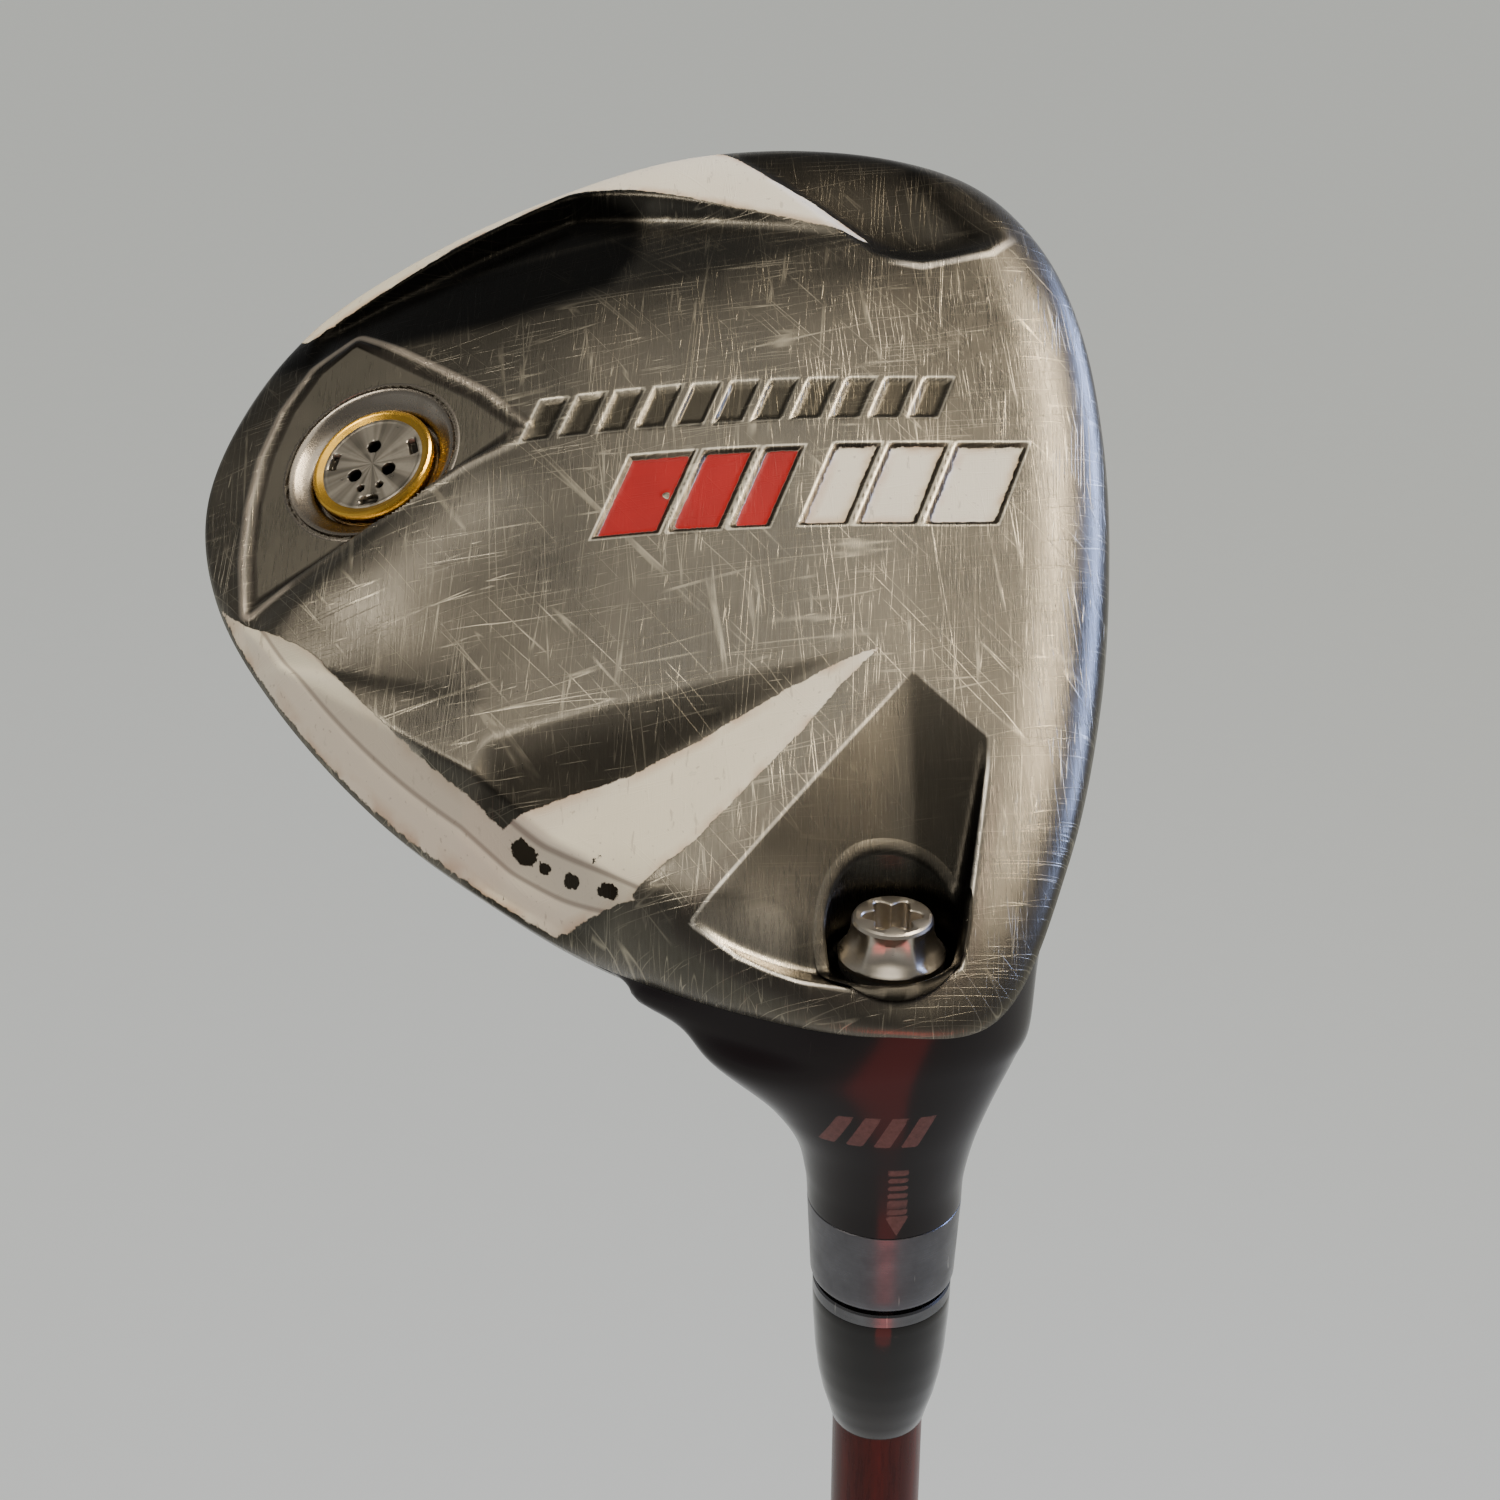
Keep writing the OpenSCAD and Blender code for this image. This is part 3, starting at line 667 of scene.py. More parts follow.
def turned_metal(name, colour, rough, kind, spacing=0.12, strength=0.15):
    """Metal with fine turning rings along the shaft's axis, or with a cloudy grain."""
    n = Nodes(name)
    place_mm = n.place()
    cloud = n.noise(place_mm, 0.35, 4, 0.6)
    if kind == "rings":
        lines = n.noise(n.mapping(place_mm, scale=(0.02, 0.02, 1 / spacing)), 1, 3, 0.6)
    else:
        lines = n.noise(place_mm, 1 / spacing, 3, 0.6)
    marks = n.scratches(place_mm, 20, 0.2, 4, 0.73)
    base = n.mix(n.band(cloud, 0.35, 0.65), colour, [c * 0.78 for c in colour])
    base = n.mix(n.band(lines, 0.35, 0.65, 0, 0.25), base, [c * 0.6 for c in colour])
    n.set(Base_Color=n.layers(base, (marks, 0.35, (0.9, 0.87, 0.8))), Metallic=1.0,
          Roughness=n.plus(n.band(cloud, 0.3, 0.7, rough - 0.05, rough + 0.05),
                           n.band(lines, 0.3, 0.7, -0.03, 0.05)),
          Normal=n.bump(lines, strength, 0.00003))
    return n.material


def weight_face_metal():
    """Dull aluminium with painted radial glints, and painted shade in its holes and slits."""
    n = Nodes("weight_aluminium")
    place_mm = n.place()
    glint_rays = n.fill(n.new("TexNoise", noise_dimensions="1D"), W=n.attribute("turn"), Scale=2.6, Detail=2.0)
    painted_glint = n.band(glint_rays.outputs["Fac"], 0.38, 0.62)
    cloud = n.noise(place_mm, 0.6, 4, 0.6)
    colour = n.mix(painted_glint, (0.20, 0.182, 0.15), (0.50, 0.455, 0.38))
    colour = n.mix(n.band(cloud, 0.45, 0.7, 0, 0.4), colour, (0.22, 0.20, 0.17))
    # Painted shade in the spanner holes and slits.
    colour = n.mix(n.band(n.attribute("deep"), 0.05, 0.5), colour, (0.03, 0.027, 0.022))
    n.set(Base_Color=colour, Metallic=1.0, Roughness=n.band(cloud, 0.3, 0.7, 0.26, 0.4),
          Normal=n.bump(cloud, 0.2, 0.00005))
    return n.material


def lacquered_shaft():
    """Dark red-brown lacquer with a fine wound-fibre grain under a clear coat."""
    n = Nodes("shaft_lacquer")
    place_mm = n.place()
    grain = n.noise(n.mapping(place_mm, scale=(1, 1, 0.12)), 2.2, 4, 0.6)
    long = n.noise(n.mapping(place_mm, scale=(1, 1, 0.01)), 0.5, 3)
    colour = n.mix(n.band(grain, 0.35, 0.65), (0.050, 0.003, 0.002), (0.085, 0.007, 0.004))
    n.set(Base_Color=n.mix(n.band(long, 0.4, 0.65, 0, 0.6), colour, (0.032, 0.003, 0.002)),
          Roughness=n.band(grain, 0.3, 0.7, 0.24, 0.34), Normal=n.bump(grain, 0.05, 0.00005),
          Specular_IOR_Level=0.15, Coat_Weight=0.12, Coat_Roughness=0.08)
    return n.material


def rubber(name, colour=(0.022, 0.022, 0.023)):
    """Dusty matt rubber."""
    n = Nodes(name)
    place_mm = n.place()
    grain = n.noise(place_mm, 1.6, 5, 0.7)
    dust = n.noise(place_mm, 0.05, 4, 0.6)
    n.set(Base_Color=n.mix(n.band(dust, 0.4, 0.7, 0, 0.35), colour, (0.07, 0.066, 0.06)),
          Roughness=n.band(grain, 0.3, 0.7, 0.6, 0.8), Normal=n.bump(grain, 0.35, 0.0001))
    return n.material


def plain(name, colour, rough, scale=1.0):
    """Simple stuff of the hidden pieces, with a little mottling and grain."""
    n = Nodes(name)
    grain = n.noise(n.place(), scale, 4, 0.6)
    n.set(Base_Color=n.mix(n.band(grain, 0.35, 0.65), colour, [c * 0.7 for c in colour]),
          Roughness=n.band(grain, 0.3, 0.7, rough - 0.06, rough + 0.06), Normal=n.bump(grain, 0.2, 0.0001))
    return n.material


# ---------------------------------------------------------------- head
def roll(s):
    t = np.maximum(0, (s - 0.8) / 0.2)
    return 1 - np.sqrt(np.maximum(0, 1 - t * t))


def inner_line(rim, s):
    """The rim drawn in towards the head's centre, to a share s of its size."""
    cx, cy = HEAD_CENTRE
    return cx + s * (rim[:, 0] - cx), cy + s * (rim[:, 1] - cy)


def sole_base(rim, u, s):
    """A ring of the plain sole: gentle curve, rolled edge, and flat skirt facets at the back heel."""
    x, y = inner_line(rim, s)
    rolled = camber(x, y) + (rim[:, 2] - camber(rim[:, 0], rim[:, 1])) * roll(s)
    from_rim = (1 - s) * np.hypot(rim[:, 0] - HEAD_CENTRE[0], rim[:, 1] - HEAD_CENTRE[1])
    down = from_rim * SKIRT_SPAN / skirt_width(u)
    facets = np.maximum(rim[:, 2] - 1.55 * down, rim[:, 2] - 1.66 - 0.9 * down)
    facets = smooth_max(camber(x, y), facets, 0.25)
    share = smooth_step((u - SKIRT_FROM) / 0.9 + 0.3) * smooth_step((SKIRT_TO - u) / 0.7 + 0.5)
    return x, y, rolled * (1 - share) + facets * share, from_rim


def face_bow(rim):
    """How far the face reaches at each point of the rim: 1 in its middle, 0 off it."""
    t = np.clip((rim[:, 1] - FACE_HEEL_Y) / (FACE_TOE_Y - FACE_HEEL_Y), 0, 1)
    return np.where(rim[:, 0] < 0, 0, np.sin(math.pi * t) ** 0.4)


def face_low(rim):
    return CROWN_SHARE + (LIP_SHARE - CROWN_SHARE) * face_bow(rim)


def face_high(rim):
    bow = face_bow(rim)
    ahead = np.where(bow > 0, rim[:, 0] - HEAD_CENTRE[0], 1)
    return CROWN_SHARE + ((TOP_LINE_X - HEAD_CENTRE[0]) / ahead - CROWN_SHARE) * bow


def top_height(rim, s):
    """A ring of the upper side: the crown's dome, cut by the lofted face."""
    ox, oy = rim[:, 0] - HEAD_CENTRE[0], rim[:, 1] - HEAD_CENTRE[1]
    power = 2.1 + 4.4 * np.maximum(0, ox / np.hypot(ox, oy)) ** 2
    edge = rim[:, 2] + RIM_BAND
    dome = edge + (HEAD_HEIGHT - edge) * np.maximum(0, 1 - s ** power) ** 0.75
    x, y = inner_line(rim, s)
    face = 4 + (22 - (y - 46) ** 2 / 600 - x) / math.tan(LOFT)
    return x, y, smooth_min(dome, np.maximum(edge, face), 0.6)


def sole_values(x, y, u, from_rim, masks):
    """Distances inside each painted or pressed region and the painted shade and highlight values, for the
    sole's material.
    """
    start = smooth_step((u - SKIRT_FROM + 0.1) / 1.1)
    end = y - 1.3 + 0.05 * (x + 32.5)
    on_skirt = (u > SKIRT_FROM - 0.2) & (u < SKIRT_TO + 0.6)
    skirt_paint = np.minimum.reduce([from_rim - 0.3, skirt_width(u) * start - from_rim, end])
    skirt_paint = np.where(on_skirt, skirt_paint, PLAIN["cream"])
    heel = np.minimum(polygon_distance(x, y, HEEL_PAINT), end)
    toe = np.minimum(polygon_distance(x, y, TOE_PAINT), from_rim - 0.2)
    chips = np.full(x.shape, float(PLAIN["chips"]))
    for at_x, at_y, long, short in CHIPS:
        along, across = (x - at_x) * 0.78 - (y - at_y) * 0.62, (x - at_x) * 0.62 + (y - at_y) * 0.78
        chips = np.maximum(chips, 0.5 - 0.5 * np.hypot(along / long, across / short))
    # sharp sets how strongly the bolt pocket's painted edge shade and lip highlight show, faded along its
    # top end and the upper part of its left side.
    from_edge, _ = line_distance(x, y, BOLT_POCKET[-1], BOLT_POCKET[0])
    sharp = np.clip((np.abs(from_edge) - 0.8) / 2.5, 0.06, 1)
    from_edge, _ = line_distance(x, y, BOLT_POCKET[0], BOLT_POCKET[1])
    sharp = sharp * (1 - 0.68 * (np.abs(from_edge) < 1.2) * smooth_step((y - 0.5) / 4))
    # How strongly the weight pocket's lip gets its painted highlight on each side.
    across, along, _ = weight_plane(x, y, weight_floor(x))
    lip_highlight_side = np.clip(smooth_step((along - 2) / 3) + smooth_step((-6 - across) / 2), 0.15, 1)
    return {
        "cream": np.maximum.reduce([skirt_paint, heel, toe, masks["cream_mark"] - 0.12]),
        "red": masks["red"], "row": masks["row"], "chips": chips, "rim": lip_highlight_side,
        "marks": np.maximum(masks["red"], masks["cream_mark"]), "sharp": sharp,
        "wear": np.where((x < -24) & (y < 12), 1.0, 0.1),
        "skirt": np.where(on_skirt, from_rim * SKIRT_SPAN / SKIRT_WIDTH, PLAIN["skirt"]),
        "tone": painted_zone_light(x, y, masks["wedge"]), "pocket_painted_shade": painted_pocket_light(x, y),
        "pocket": polygon_distance(x, y, BOLT_POCKET), "weight": masks["weight"],
        "scoop": polygon_distance(x, y, TOE_SCOOP),
        "scoop_lip_highlight": smooth_step((76 - y) / 3) * smooth_step((x - 1) / 3),
    }


def build_sole(material):
    """The sole and the band round its rim, open at the bolt's hole and the weight's port."""
    count, rings, lips = 700, 122, 4
    rim, u = head_rim(count)
    shares = [1 - (1 - j / rings) ** 1.05 for j in range(1, rings + 1)]
    x, y, base, from_rim = (np.array(rows) for rows in zip(*(sole_base(rim, u, s) for s in shares)))
    h, masks = sculpt(x, y, base)
    h = base + (h - base) * smooth_step(from_rim / 1.2)
    band = [top_height(rim, 1 + (face_low(rim) - 1) * k / lips) for k in range(1, lips + 1)]
    all_x, all_y, all_h = (
        np.concatenate([*rows, *(b[k] for b in band)]) for k, rows in enumerate((x, y, h)))
    points = np.concatenate([to_world(all_x, all_y, all_h), to_world(*HEAD_CENTRE, camber(*HEAD_CENTRE))])
    faces = grid_faces(rings + lips, count) + [(len(all_x), (i + 1) % count, i) for i in range(count)]

    from_axis = np.hypot(all_x, all_y * COS + all_h * SIN)
    low = (all_y * SIN - all_h * COS > -12) & (np.arange(len(all_x)) < x.size)
    across, along, _ = weight_plane(all_x, all_y, all_h)
    cut = ((from_axis < BOLT_HOLE_R + 0.45) & low) | (np.hypot(across, along) < PORT_R + 0.25)
    cut = [*cut.tolist(), False]
    obj = make_mesh("sole", points, [f for f in faces if not any(cut[i] for i in f)])
    add_plan(obj, *(np.append(v, c) for v, c in zip((all_x, all_y, all_h), (*HEAD_CENTRE, 0.5))))
    values = sole_values(x, y, u, from_rim, masks)
    for name, fill in PLAIN.items():
        add_attribute(obj, name, np.append(values[name].ravel(), np.full(count * lips + 1, fill)))
    place(obj, "head", material, ["head_body"])


def floor_at(a, b):
    """Place on the sculpted sole of a line parallel to the shaft, a and b off its axis."""
    z = -6 + 0 * a
    for _ in range(30):
        y = b * COS + z * SIN
        base = camber(a, y)
        h = base + smooth_max(hollow(a, y, BOLT_POCKET, BOLT_POCKET_SLOPES, 0.9), 0 * a, 0.1)
        z = 0.5 * z + 0.5 * (b * SIN - h) / COS
    return z


def build_bolt_hole(material):
    """The rim, wall and seat of the bolt's hole in the floor of its pocket."""
    angle = turn_angles(120)
    loops = []
    for r, drop in ((6.8, 0.05), (6.6, -0.03), (6.0, -0.04), (5.78, 0.0), (5.65, 0.15)):
        loops.append((r, floor_at(r * np.cos(angle), r * np.sin(angle)) - drop))
    loops.append((BOLT_HOLE_R, np.minimum(-7.4, loops[-1][1])))
    loops += [(5.4, -7.75), (2.8, -7.8), (2.75, -10.6)]
    a, b, z = loop_points(loops, angle)
    obj = make_mesh("bolt_hole", axis_frame("shaft")(a, b, z), grid_faces(len(loops), len(angle)))
    obj.data.flip_normals()
    x, y = a, b * COS + z * SIN
    add_plan(obj, x, y, b * SIN - z * COS)
    # The hole's deep wall and seat get a deeper painted shade.
    values = {"pocket": 2 + 0 * x, "pocket_painted_shade": painted_pocket_light(x, y) * np.where(z < -7, 0.25, 1)}
    for name, fill in PLAIN.items():
        add_attribute(obj, name, values.get(name, fill + 0 * x))
    place(obj, "head", material)


# Rows up the neck: (height, radius to the back, front, near and far side).
NECK = [
    (-31.9, 6.95, 6.95, 6.95, 6.95), (-29, 7.2, 7.1, 7.0, 7.2), (-25, 8.2, 7.9, 7.3, 8.3),
    (-21, 10.9, 9.2, 7.7, 10.4), (-16, 16.6, 11.2, 8.0, 14),
    (-13.2, 22.5, 12.2, 8.2, 17.5),
]


def neck_top(angle):
    """Radius and height where the neck ends: just inside the rim in front, hidden in the head behind."""
    rim, _ = head_rim(2880)
    a, b = rim[:, 0], rim[:, 1] * COS + rim[:, 2] * SIN
    order = np.argsort(np.arctan2(b, a))
    around = np.arctan2(b, a)[order]
    reach = np.interp(angle, around, np.hypot(a, b)[order], period=2 * math.pi)
    height = np.interp(angle, around, (rim[:, 1] * SIN - rim[:, 2] * COS)[order], period=2 * math.pi)
    keys = np.radians([-180, -150, -60, -20, 0, 30, 60, 90, 120, 150, 165, 172])
    limit = np.interp(angle, keys, [34, 24, 20, 13, 13, 15, 17, 19, 22, 26, 31, 34], period=2 * math.pi)
    inner = smooth_step((reach - limit) / 14)
    return smooth_min(reach - 0.25, limit, 1.0), height * (1 - inner) - 7 * inner - 0.05


def smooth_rows(angle):
    """Rows of (radius, height) up the neck on smooth curves, the last ones out under the rim."""
    c, s = np.cos(angle), np.sin(angle)
    rows = []
    for z, back, front, near, far in NECK:
        r = 1 / np.sqrt((c / np.where(c < 0, back, front)) ** 2 + (s / np.where(s < 0, near, far)) ** 2)
        rows.append(np.array([r, z + 0 * r]))
    end = np.array(neck_top(angle))
    rows[-1][0] = smooth_min(rows[-1][0], end[0] + 0.9, 1.2)
    rows.append(end)
    out = []
    for i in range(len(rows) - 1):
        a, b, c, d = (rows[min(max(k, 0), len(rows) - 1)] for k in (i - 1, i, i + 1, i + 2))
        out += [catmull(a, b, c, d, t) for t in np.arange(10) / 10]
    return out + [rows[-1], rows[-1] * [[0.95], [1]] - [[0], [0.8]]]


def build_neck():
    """Black neck with a band of bars, a row of ticks and a dart."""
    angle = turn_angles(240) - math.pi
    rows = smooth_rows(angle)
    a, b, z = loop_points(rows, angle)
    obj = make_mesh("neck", axis_frame("shaft")(a, b, z), grid_faces(len(rows), len(angle)))
    bars_at = bars(a, z, -6.3, 2.2, -21.6, -18.4, 0.5, 4, 0.9, 0)
    ticks = bars(z, a, -29.2, -24.2, -0.2, 1.6, 0.0, 6, 0.35, 0)
    dart = np.minimum(np.minimum(z + 31.6, -29.4 - z), (z + 31.6) * 0.5 - np.abs(a - 0.7))
    add_attribute(obj, "mark", np.where(b < 0, np.maximum.reduce([bars_at, ticks, dart]), -5))
    return place(obj, "head", neck_material())


def build_bore():
    """The end of the hosel under the ring: keyed mouth and bore for the sleeve."""
    keys, slot_half, slot_r, bore_r = 8, 0.95, 5.75, 5.0
    open_half, far_half = math.asin(slot_half / bore_r), math.asin(slot_half / slot_r)
    outline = []
    for k in range(keys):
        mid = 2 * math.pi * k / keys
        outline += [(slot_r, mid + far_half * t) for t in (-1, 0, 1)] + [(bore_r, mid + open_half)]
        start, stop = mid + open_half, mid + 2 * math.pi / keys - open_half
        outline += [(bore_r, start + (stop - start) * t / 6) for t in range(1, 7)]
    r, angle = np.array(outline).T
    loops = [(6.1, -32.0), (6.1, -40.5), (np.maximum(r, slot_r), -40.5), (r, -40.4), (r, -35.0),
             (bore_r, -35.0), (bore_r, -10.6), (2.75, -10.6)]
    points = axis_frame("shaft")(*loop_points(loops, angle))
    obj = crisp(make_mesh("hosel_bore", points, grid_faces(len(loops), len(angle))))
    return place(obj, "head", turned_metal("bore_steel", (0.36, 0.35, 0.33), 0.4, "rings"))


def build_crown():
    """The crown's dome up to the face's top line."""
    count, rings = 360, 70
    rim, _ = head_rim(count)
    rows = [top_height(rim, (1 - (1 - j / rings) ** 1.3) * face_high(rim)) for j in range(1, rings + 1)]
    x, y, h = (np.array(values) for values in zip(*rows))
    points = np.concatenate([to_world(x, y, h), to_world(*HEAD_CENTRE, HEAD_HEIGHT)])
    faces = grid_faces(rings, count, flip=True)
    faces += [(len(points) - 1, i, (i + 1) % count) for i in range(count)]
    obj = make_mesh("crown_skin", points, faces)
    return place(obj, "head", gloss_black("crown_black", 0.5), ["crown"])


def build_face():
    """Lofted face with score lines cut across its middle."""
    rim, _ = head_rim(720)
    rim = rim[face_bow(rim) > 0]
    rim = rim[np.argsort(rim[:, 1])]
    low, high = face_low(rim), face_high(rim)
    rows, pitch = 190, 3.4
    grid = []
    for k in range(rows + 1):
        x, y, h = top_height(rim, low + (high - low) * k / rows)
        from_line = np.abs((h - 8) / pitch - np.round((h - 8) / pitch)) * pitch
        score = smooth_step((0.42 - from_line) / 0.2) * (np.abs(y - 46) < 22) * (h > 7) * (h < 33)
        grid.append((x - 0.22 * score, y, h))
    x, y, h = (np.array(values) for values in zip(*grid))
    obj = make_mesh("face_skin", to_world(x, y, h), grid_faces(rows + 1, len(rim), wrap=False, flip=True))
    add_plan(obj, x, y, h)
    n = Nodes("face_steel")
    colour, roughness, height = brushed_steel(n, n.plan(), (0.36, 0.36, 0.36), (0.26, 0.26, 0.26), 0.36)
    n.set(Base_Color=colour, Roughness=roughness, Normal=n.bump(height, 0.3, 0.00006), Metallic=1.0)
    return place(obj, "head", n.material, ["face_plate"])


# ---------------------------------------------------------------- bolt and weight
def build_bolt():
    """Bolt with a six-lobe recess, a fluted cone over its flange, and threads at its end."""
    angle = turn_angles(144)
    star = 1.75 + 0.85 * (0.5 + 0.5 * np.cos(6 * angle)) ** 0.8
    flute = (0.5 - 0.5 * np.cos(6 * angle + 0.6)) ** 0.6
    head = [
        (0.2, -2.6), (star - 0.12, -2.6), (star - 0.05, -2.4), (star, -0.14), (star + 0.12, -0.03),
        (3.1, 0), (3.35, -0.12), (3.5, -0.38), (3.52 - 0.3 * flute, -0.7), (3.6 - 0.6 * flute, -1.4),
        (3.95 - 0.75 * flute, -2.3), (4.35 - 0.6 * flute, -3.0), (4.62 - 0.15 * flute, -3.4),
        (4.65, -3.6), (4.6, -4), (2, -4),
    ]
    threads = [(2.1 if k % 2 else 2.5, -18.8 - 0.4 * k) for k in range(15)]
    loops = [(r, BOLT_TOP + z) for r, z in head] + [(2, -18.6)] + threads + [(0.3, -25)]
    points = axis_frame("shaft")(*loop_points(loops, angle))
    faces = grid_faces(len(loops), len(angle), flip=True) + [tuple(range(len(angle)))]
    obj = crisp(make_mesh("bolt", points, faces), 28)
    return place(obj, "bolt", turned_metal("bolt_steel", (0.60, 0.55, 0.47), 0.31, "rings", 0.2, 0.1),
                 ["hosel_bolt"])


def from_spoke(a, b, turn, out):
    """Distances along and across the spoke at an angle, from the point that far out on it."""
    c, s = math.cos(math.radians(turn)), math.sin(math.radians(turn))
    return a * c + b * s - out, b * c - a * s


def build_weight():
    """Weight's face as a fine disc with its spanner holes and slits pressed in, its ring and its dish."""
    top, face_r, count, rings = -WEIGHT_SINK - 0.4, 5.5, 216, 54
    r, t = np.meshgrid(face_r * np.linspace(0.004, 1, rings), turn_angles(count), indexing="ij")
    a, b = r * np.cos(t), r * np.sin(t)
    deep = 0 * r
    holes = [(turn, 2.1, 0.74, 0.16, 1.3) for turn in (90, 210, 330)]
    holes += [(turn, 3.0, 0.42, 0.14, 0.7) for turn in (250, 290)]
    for turn, out, radius, soft, depth in holes:
        along, across = from_spoke(a, b, turn, out)
        deep = np.maximum(deep, depth * smooth_step((radius - np.hypot(along, across)) / soft))
    for turn in (165, 270, 15):
        along, across = from_spoke(a, b, turn, 4.4)
        outside = np.maximum(np.abs(along) - 0.2, np.abs(across) - 0.7)
        deep = np.maximum(deep, 0.5 * smooth_step((0.28 - outside) / 0.16))
    z = top - deep + 0.05 * smooth_step((5.3 - r) / 0.3) * smooth_step((r - 4.9) / 0.3)
    side = [(face_r, top - 1.6), (4.0, top - 1.6), (4.0, -8.6), (0.4, -8.6)]
    loops = loop_points(side, turn_angles(count))
    points = [axis_frame("weight")(a.ravel(), b.ravel(), z.ravel()), axis_frame("weight")(*loops)]
    faces = grid_faces(rings + len(side), count, flip=True) + [tuple(range(count))]
    obj = crisp(make_mesh("weight_plug_face", np.concatenate(points), faces), 40)
    for name, values in (("deep", deep), ("turn", t)):
        add_attribute(obj, name, np.append(values.ravel(), np.zeros(count * len(side))))
    place(obj, "weight", weight_face_metal(), ["weight_plug", "weight_core"])

    ring = lathe("weight_gold", [
        (face_r, top - 1.6), (6.35, top - 1.6), (6.45, top - 1.4), (6.45, top - 0.15), (6.38, top + 0.12),
        (6.2, top + 0.27), (6.0, top + 0.27), (5.8, top + 0.2), (5.4, top + 0.02), (5.2, top - 0.05),
    ], "weight", 144)
    place(ring, "weight", turned_metal("gold_ring", (0.86, 0.50, 0.07), 0.22, "cloud", 0.3, 0.1),
          ["weight_ring"])
    build_dish()


def build_dish():
    """The weight's port: a raised lip, a groove and a cone down to the socket."""
    sink = -WEIGHT_SINK
    dish = lathe("weight_dish", [
        (9.6, sink - 0.04), (9.45, sink + 0.04), (9.25, sink + 0.03), (9.1, sink - 0.28),
        (8.95, sink - 0.28), (8.85, sink + 0.08), (8.6, sink + 0.05), (8.3, sink - 0.2),
        (7.8, sink - 0.6), (7.3, sink - 0.95), (6.95, sink - 1.1), (6.8, sink - 1.3),
        (6.75, sink - 2.5), (4.2, sink - 2.6), (4.1, -9),
    ], "weight", 160)
    dish.data.flip_normals()
    place(dish, "head", turned_metal("port_steel", (0.36, 0.32, 0.27), 0.26, "cloud", 0.25, 0.2),
          ["weight_port"])


# ---------------------------------------------------------------- hosel, shaft and grip
def build_hosel():
    """Bare collar on the head and black ferrule on the shaft."""
    collar = [(6.1, -32.0), (6.9, -32.0), (6.95, -32.05), (6.95, -32.25), (6.58, -40.0), (6.5, -40.3),
              (6.35, -40.5), (6.1, -40.5)]
    obj = lathe("collar", fine_profile(collar, 0.8), count=144)
    place(obj, "head", turned_metal("collar_aluminium", (0.13, 0.128, 0.14), 0.3, "rings", 0.09, 0.12),
          ["hosel_ring"])
    cone = [(5.1, -42.4), (6.15, -42.4), (6.3, -42.5), (6.35, -42.75), (6.3, -45), (6.05, -49),
            (5.78, -51.4), (5.7, -51.9), (5.3, -54), (4.75, -56), (4.42, -57.3), (4.3, -57.5)]
    obj = lathe("ferrule_cone", fine_profile(cone, 0.7), count=144)
    place(obj, "shaft", gloss_black("ferrule_black", 0.2), ["ferrule"])


def build_grip():
    """Rubber grip with a pressed lozenge pattern and a plain band, and its cap."""
    low, top = (corner.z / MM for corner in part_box("grip"))
    profile = [(13.4, low + 0.5), (13.2, 12), (12, 60), (10.9, 120), (10, 190), (9.0, top - 3), (8.5, top)]
    count, rows, band_at = 160, 500, 150
    radius, height = np.array(profile).T
    z, angle = np.meshgrid(np.linspace(height[0], height[-1], rows), turn_angles(count), indexing="ij")
    one, two = (np.abs((angle * 12 / math.pi + side * z / 6) % 1 - 0.5) for side in (1, -1))
    groove = smooth_step((0.1 - np.minimum(one, two)) / 0.08)
    zone = smooth_step((z - 14) / 2) * smooth_step((top - 12 - z) / 3)
    plain_band = 1 - smooth_step((np.abs(z - band_at) - 4) / 1.5)
    r = np.interp(z, height, radius) - 0.28 * groove * zone * (1 - plain_band)
    r = r - 0.35 * plain_band * (np.abs(np.abs(z - band_at) - 3) < 0.6)
    points = np.stack([r * np.cos(angle), r * np.sin(angle), z], -1).reshape(-1, 3) * MM
    obj = make_mesh("grip_rubber_skin", points, grid_faces(rows, count))
    place(obj, "shaft", rubber("grip_rubber"), ["grip"])

    end = [(1.5, 4), (1.5, 0.15), (1.7, 0), (6, 0), (6.4, 0.3), (6.8, 0.3), (7.2, 0), (11.4, 0), (12.6, 0.4),
           (13.2, 1.2), (13.4, 2.2), (13.4, 4.2)]
    cap = lathe("grip_end", [(r, z - SOLE_Z) for r, z in end], count=128)
    place(cap, "shaft", rubber("cap_rubber", (0.03, 0.03, 0.031)), ["grip_cap"])


def build_shaft():
    """Tube that tapers between its parallel butt and its parallel tip."""
    bottom, top = (corner.z / MM - SOLE_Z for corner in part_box("shaft_tube"))
    profile = [(6.35, bottom), (7.6, bottom), (7.6, 300 - SOLE_Z), (4.25, -150), (4.25, top), (2.25, top)]
    obj = lathe("shaft_lacquered", fine_profile(profile, 12))
    place(obj, "shaft", lacquered_shaft(), ["shaft_tube"])


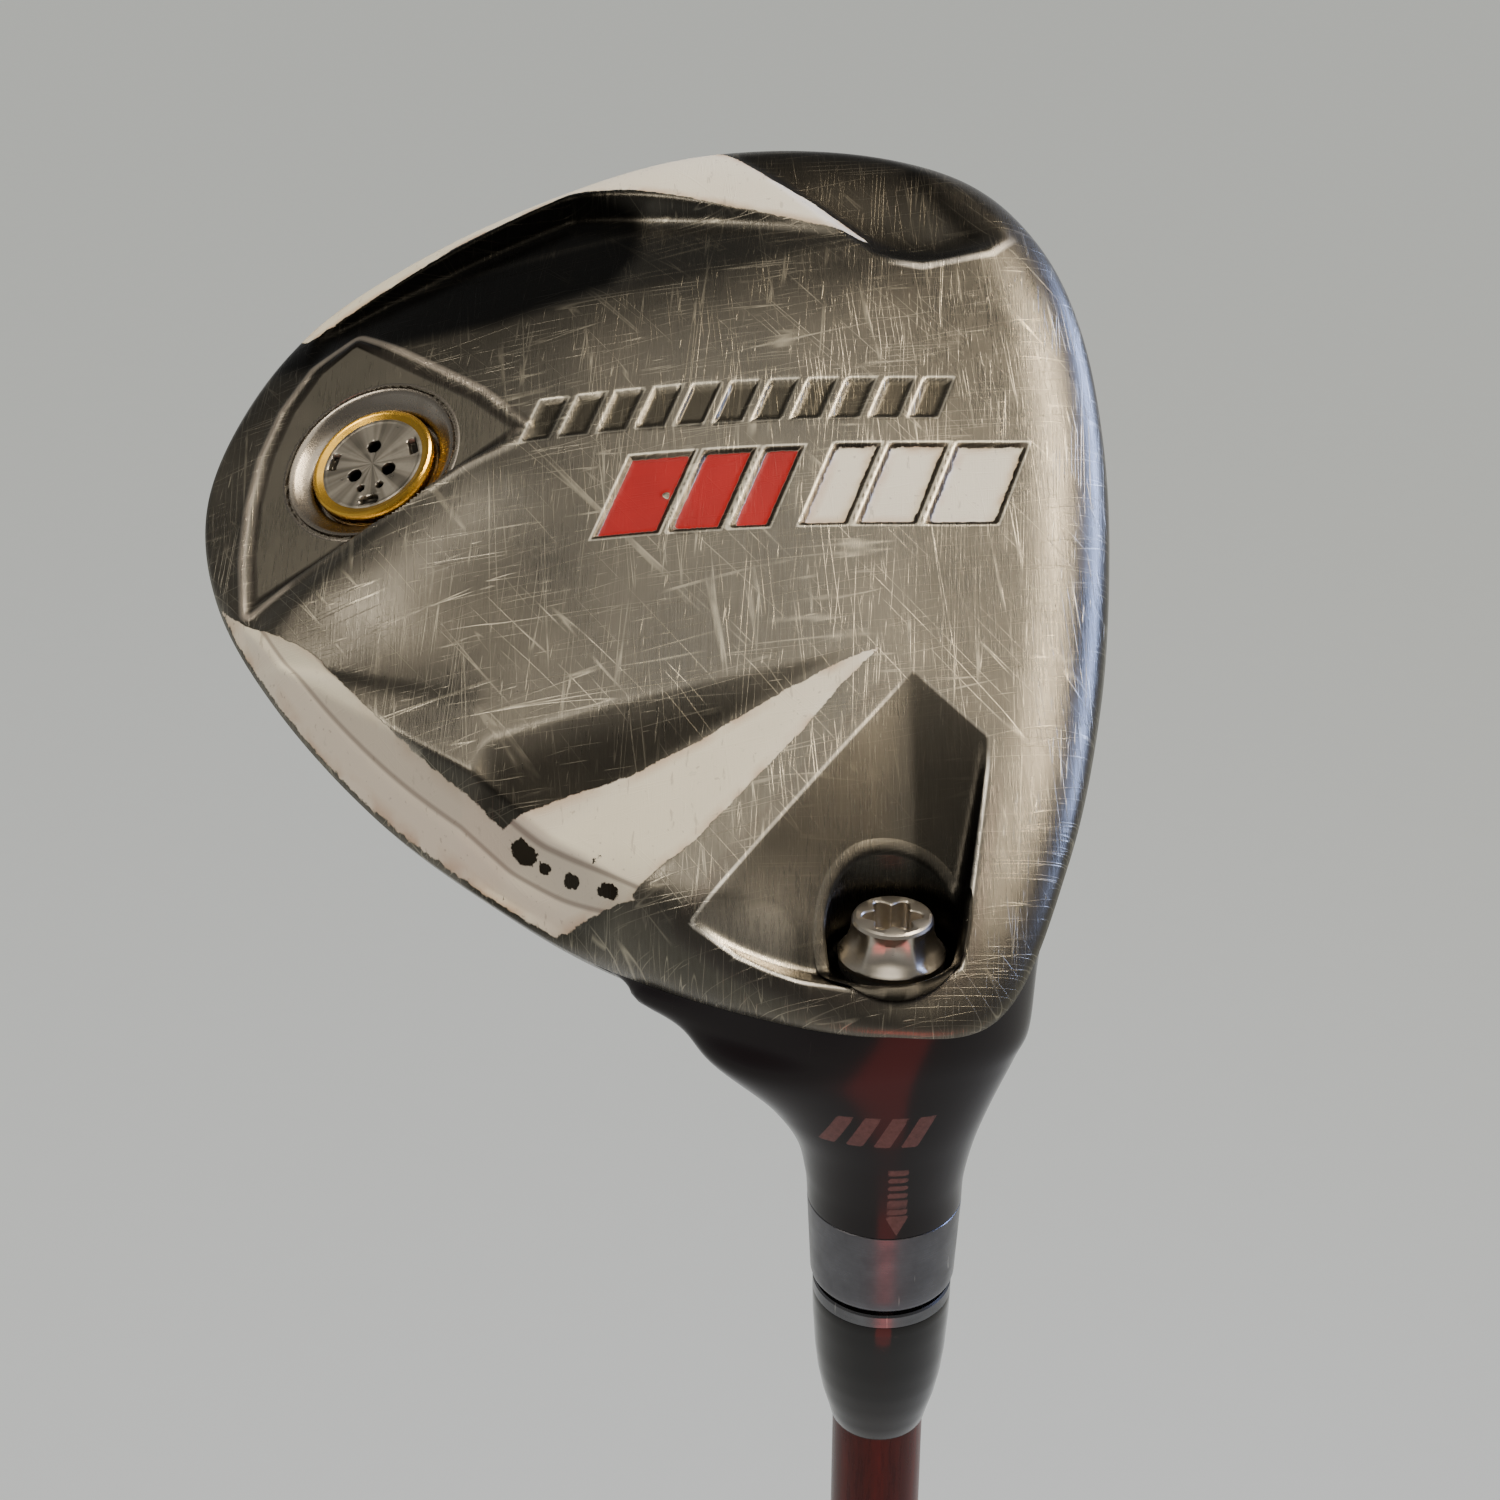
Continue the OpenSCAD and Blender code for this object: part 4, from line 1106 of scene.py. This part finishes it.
def finish_cad_nodes():
    """Materials for the CAD solids that stay: sleeve, washers, retainer, pad and other inner pieces."""
    looks = {
        "adapter_sleeve": turned_metal("sleeve_aluminium", (0.16, 0.16, 0.17), 0.25, "rings", 0.3, 0.1),
        "bolt_washer": turned_metal("washer_steel", (0.5, 0.5, 0.5), 0.3, "cloud", 0.3),
        "bolt_retainer": plain("retainer_nylon", (0.05, 0.05, 0.05), 0.5),
        "weight_washer": rubber("gasket_rubber"),
        "rattle_pad": plain("pad_resin", (0.55, 0.42, 0.2), 0.35, 0.5),
        "sleeve_adhesive": plain("epoxy", (0.6, 0.52, 0.36), 0.35),
        "tip_plug": plain("cork", (0.4, 0.25, 0.13), 0.8, 1.4),
        "grip_tape": plain("tape", (0.6, 0.55, 0.45), 0.8, 0.8),
    }
    for node, material in looks.items():
        slots = frame["nodes"][node].data.materials
        if len(slots) == 0:
            slots.append(material)
        for i in range(len(slots)):
            slots[i] = material


# ---------------------------------------------------------------- studio
def build_floor():
    """Plain pale floor that gives off a little light of its own, so that it stays even."""
    size, low = 16, -0.004
    corners = [(-size, -size, low), (size, -size, low), (size, size, low), (-size, size, low)]
    obj = make_mesh("floor", corners, [(0, 1, 2, 3)], smooth=False)
    n = Nodes("floor_pale")
    grain = n.noise(n.new("TexCoord").outputs["Object"], 40, 3)
    tone = n.mix(n.band(grain, 0.3, 0.7, 0, 0.08), (0.60, 0.615, 0.585), (0.54, 0.555, 0.525))
    n.set(Base_Color=tone, Emission_Color=tone, Emission_Strength=0.62, Roughness=0.95,
          Specular_IOR_Level=0.0)
    obj.data.materials.append(n.material)


def add_light(name, aim, offset, size, power, colour, size_y=None):
    """Area light at an offset in metres from the place that it shines on."""
    data = bpy.data.lights.new(name, "AREA")
    data.energy = power
    data.color = colour
    data.size = size
    if size_y:
        data.shape = "RECTANGLE"
        data.size_y = size_y
    obj = add_object(name, data)
    obj.location = aim + np.array(offset)
    obj.rotation_mode = "QUATERNION"
    obj.rotation_quaternion = (Vector(aim) - obj.location).to_track_quat("-Z", "Y")
    obj.visible_camera = False


def build_lights():
    """Soft light from above, strips that the leading edge reflects, and a red one that the neck reflects."""
    head = to_world(-15, 40, 5)[0]
    neck = np.array((0, 0, SOLE_Z - 25)) * MM
    add_light("ceiling", head, (-0.1, -0.25, 1.5), 1.1, 6, (1.0, 0.95, 0.86))
    add_light("edge_warm", head, (0.44, 0.04, 0.94), 0.8, 11.0, (1.0, 0.86, 0.66), 0.12)
    add_light("edge_blue", head, (0.90, 0.36, 0.48), 0.9, 14.0, (0.36, 0.5, 1.0), 0.16)
    add_light("spot_left", head, (-0.62, -0.3, 0.9), 0.3, 3.2, (1.0, 0.92, 0.8))
    add_light("front_red", neck, (0.03, -0.9, -0.42), 0.36, 1.3, (1.0, 0.035, 0.03), 0.7)


def build_world():
    """Pale grey surroundings, darkest half way up."""
    world = bpy.data.worlds.new("studio")
    bpy.context.scene.world = world
    world.use_nodes = True
    tree = world.node_tree
    background = tree.nodes["Background"]
    coordinates = tree.nodes.new("ShaderNodeTexCoord")
    split = tree.nodes.new("ShaderNodeSeparateXYZ")
    ramp = tree.nodes.new("ShaderNodeValToRGB")
    tree.links.new(coordinates.outputs["Generated"], split.inputs[0])
    tree.links.new(split.outputs["Z"], ramp.inputs["Fac"])
    tree.links.new(ramp.outputs["Color"], background.inputs["Color"])
    stops = ramp.color_ramp.elements
    stops[0].color = (0.46, 0.465, 0.455, 1)
    stops[1].color = (0.34, 0.325, 0.295, 1)
    stops.new(0.16).color = (0.34, 0.34, 0.335, 1)
    stops.new(0.55).color = (0.15, 0.15, 0.145, 1)


def build_camera():
    """Camera over the sole, tipped down towards it, at the photograph's angle."""
    data = bpy.data.cameras.new("camera")
    data.lens = 57.6
    data.sensor_width = 36
    data.clip_start, data.clip_end = 0.02, 60
    obj = add_object("camera", data)
    obj.location = (-0.0121, -0.1749, SOLE_Z * MM + 0.1018)
    obj.rotation_euler = (math.radians(90 - 27), 0, 0)
    bpy.context.scene.camera = obj


build_camera()
steel = sole_material()
build_sole(steel)
build_bolt_hole(steel)
build_neck()
build_bore()
build_crown()
build_face()
build_bolt()
build_weight()
build_hosel()
build_shaft()
build_grip()
finish_cad_nodes()
build_floor()
build_lights()
build_world()
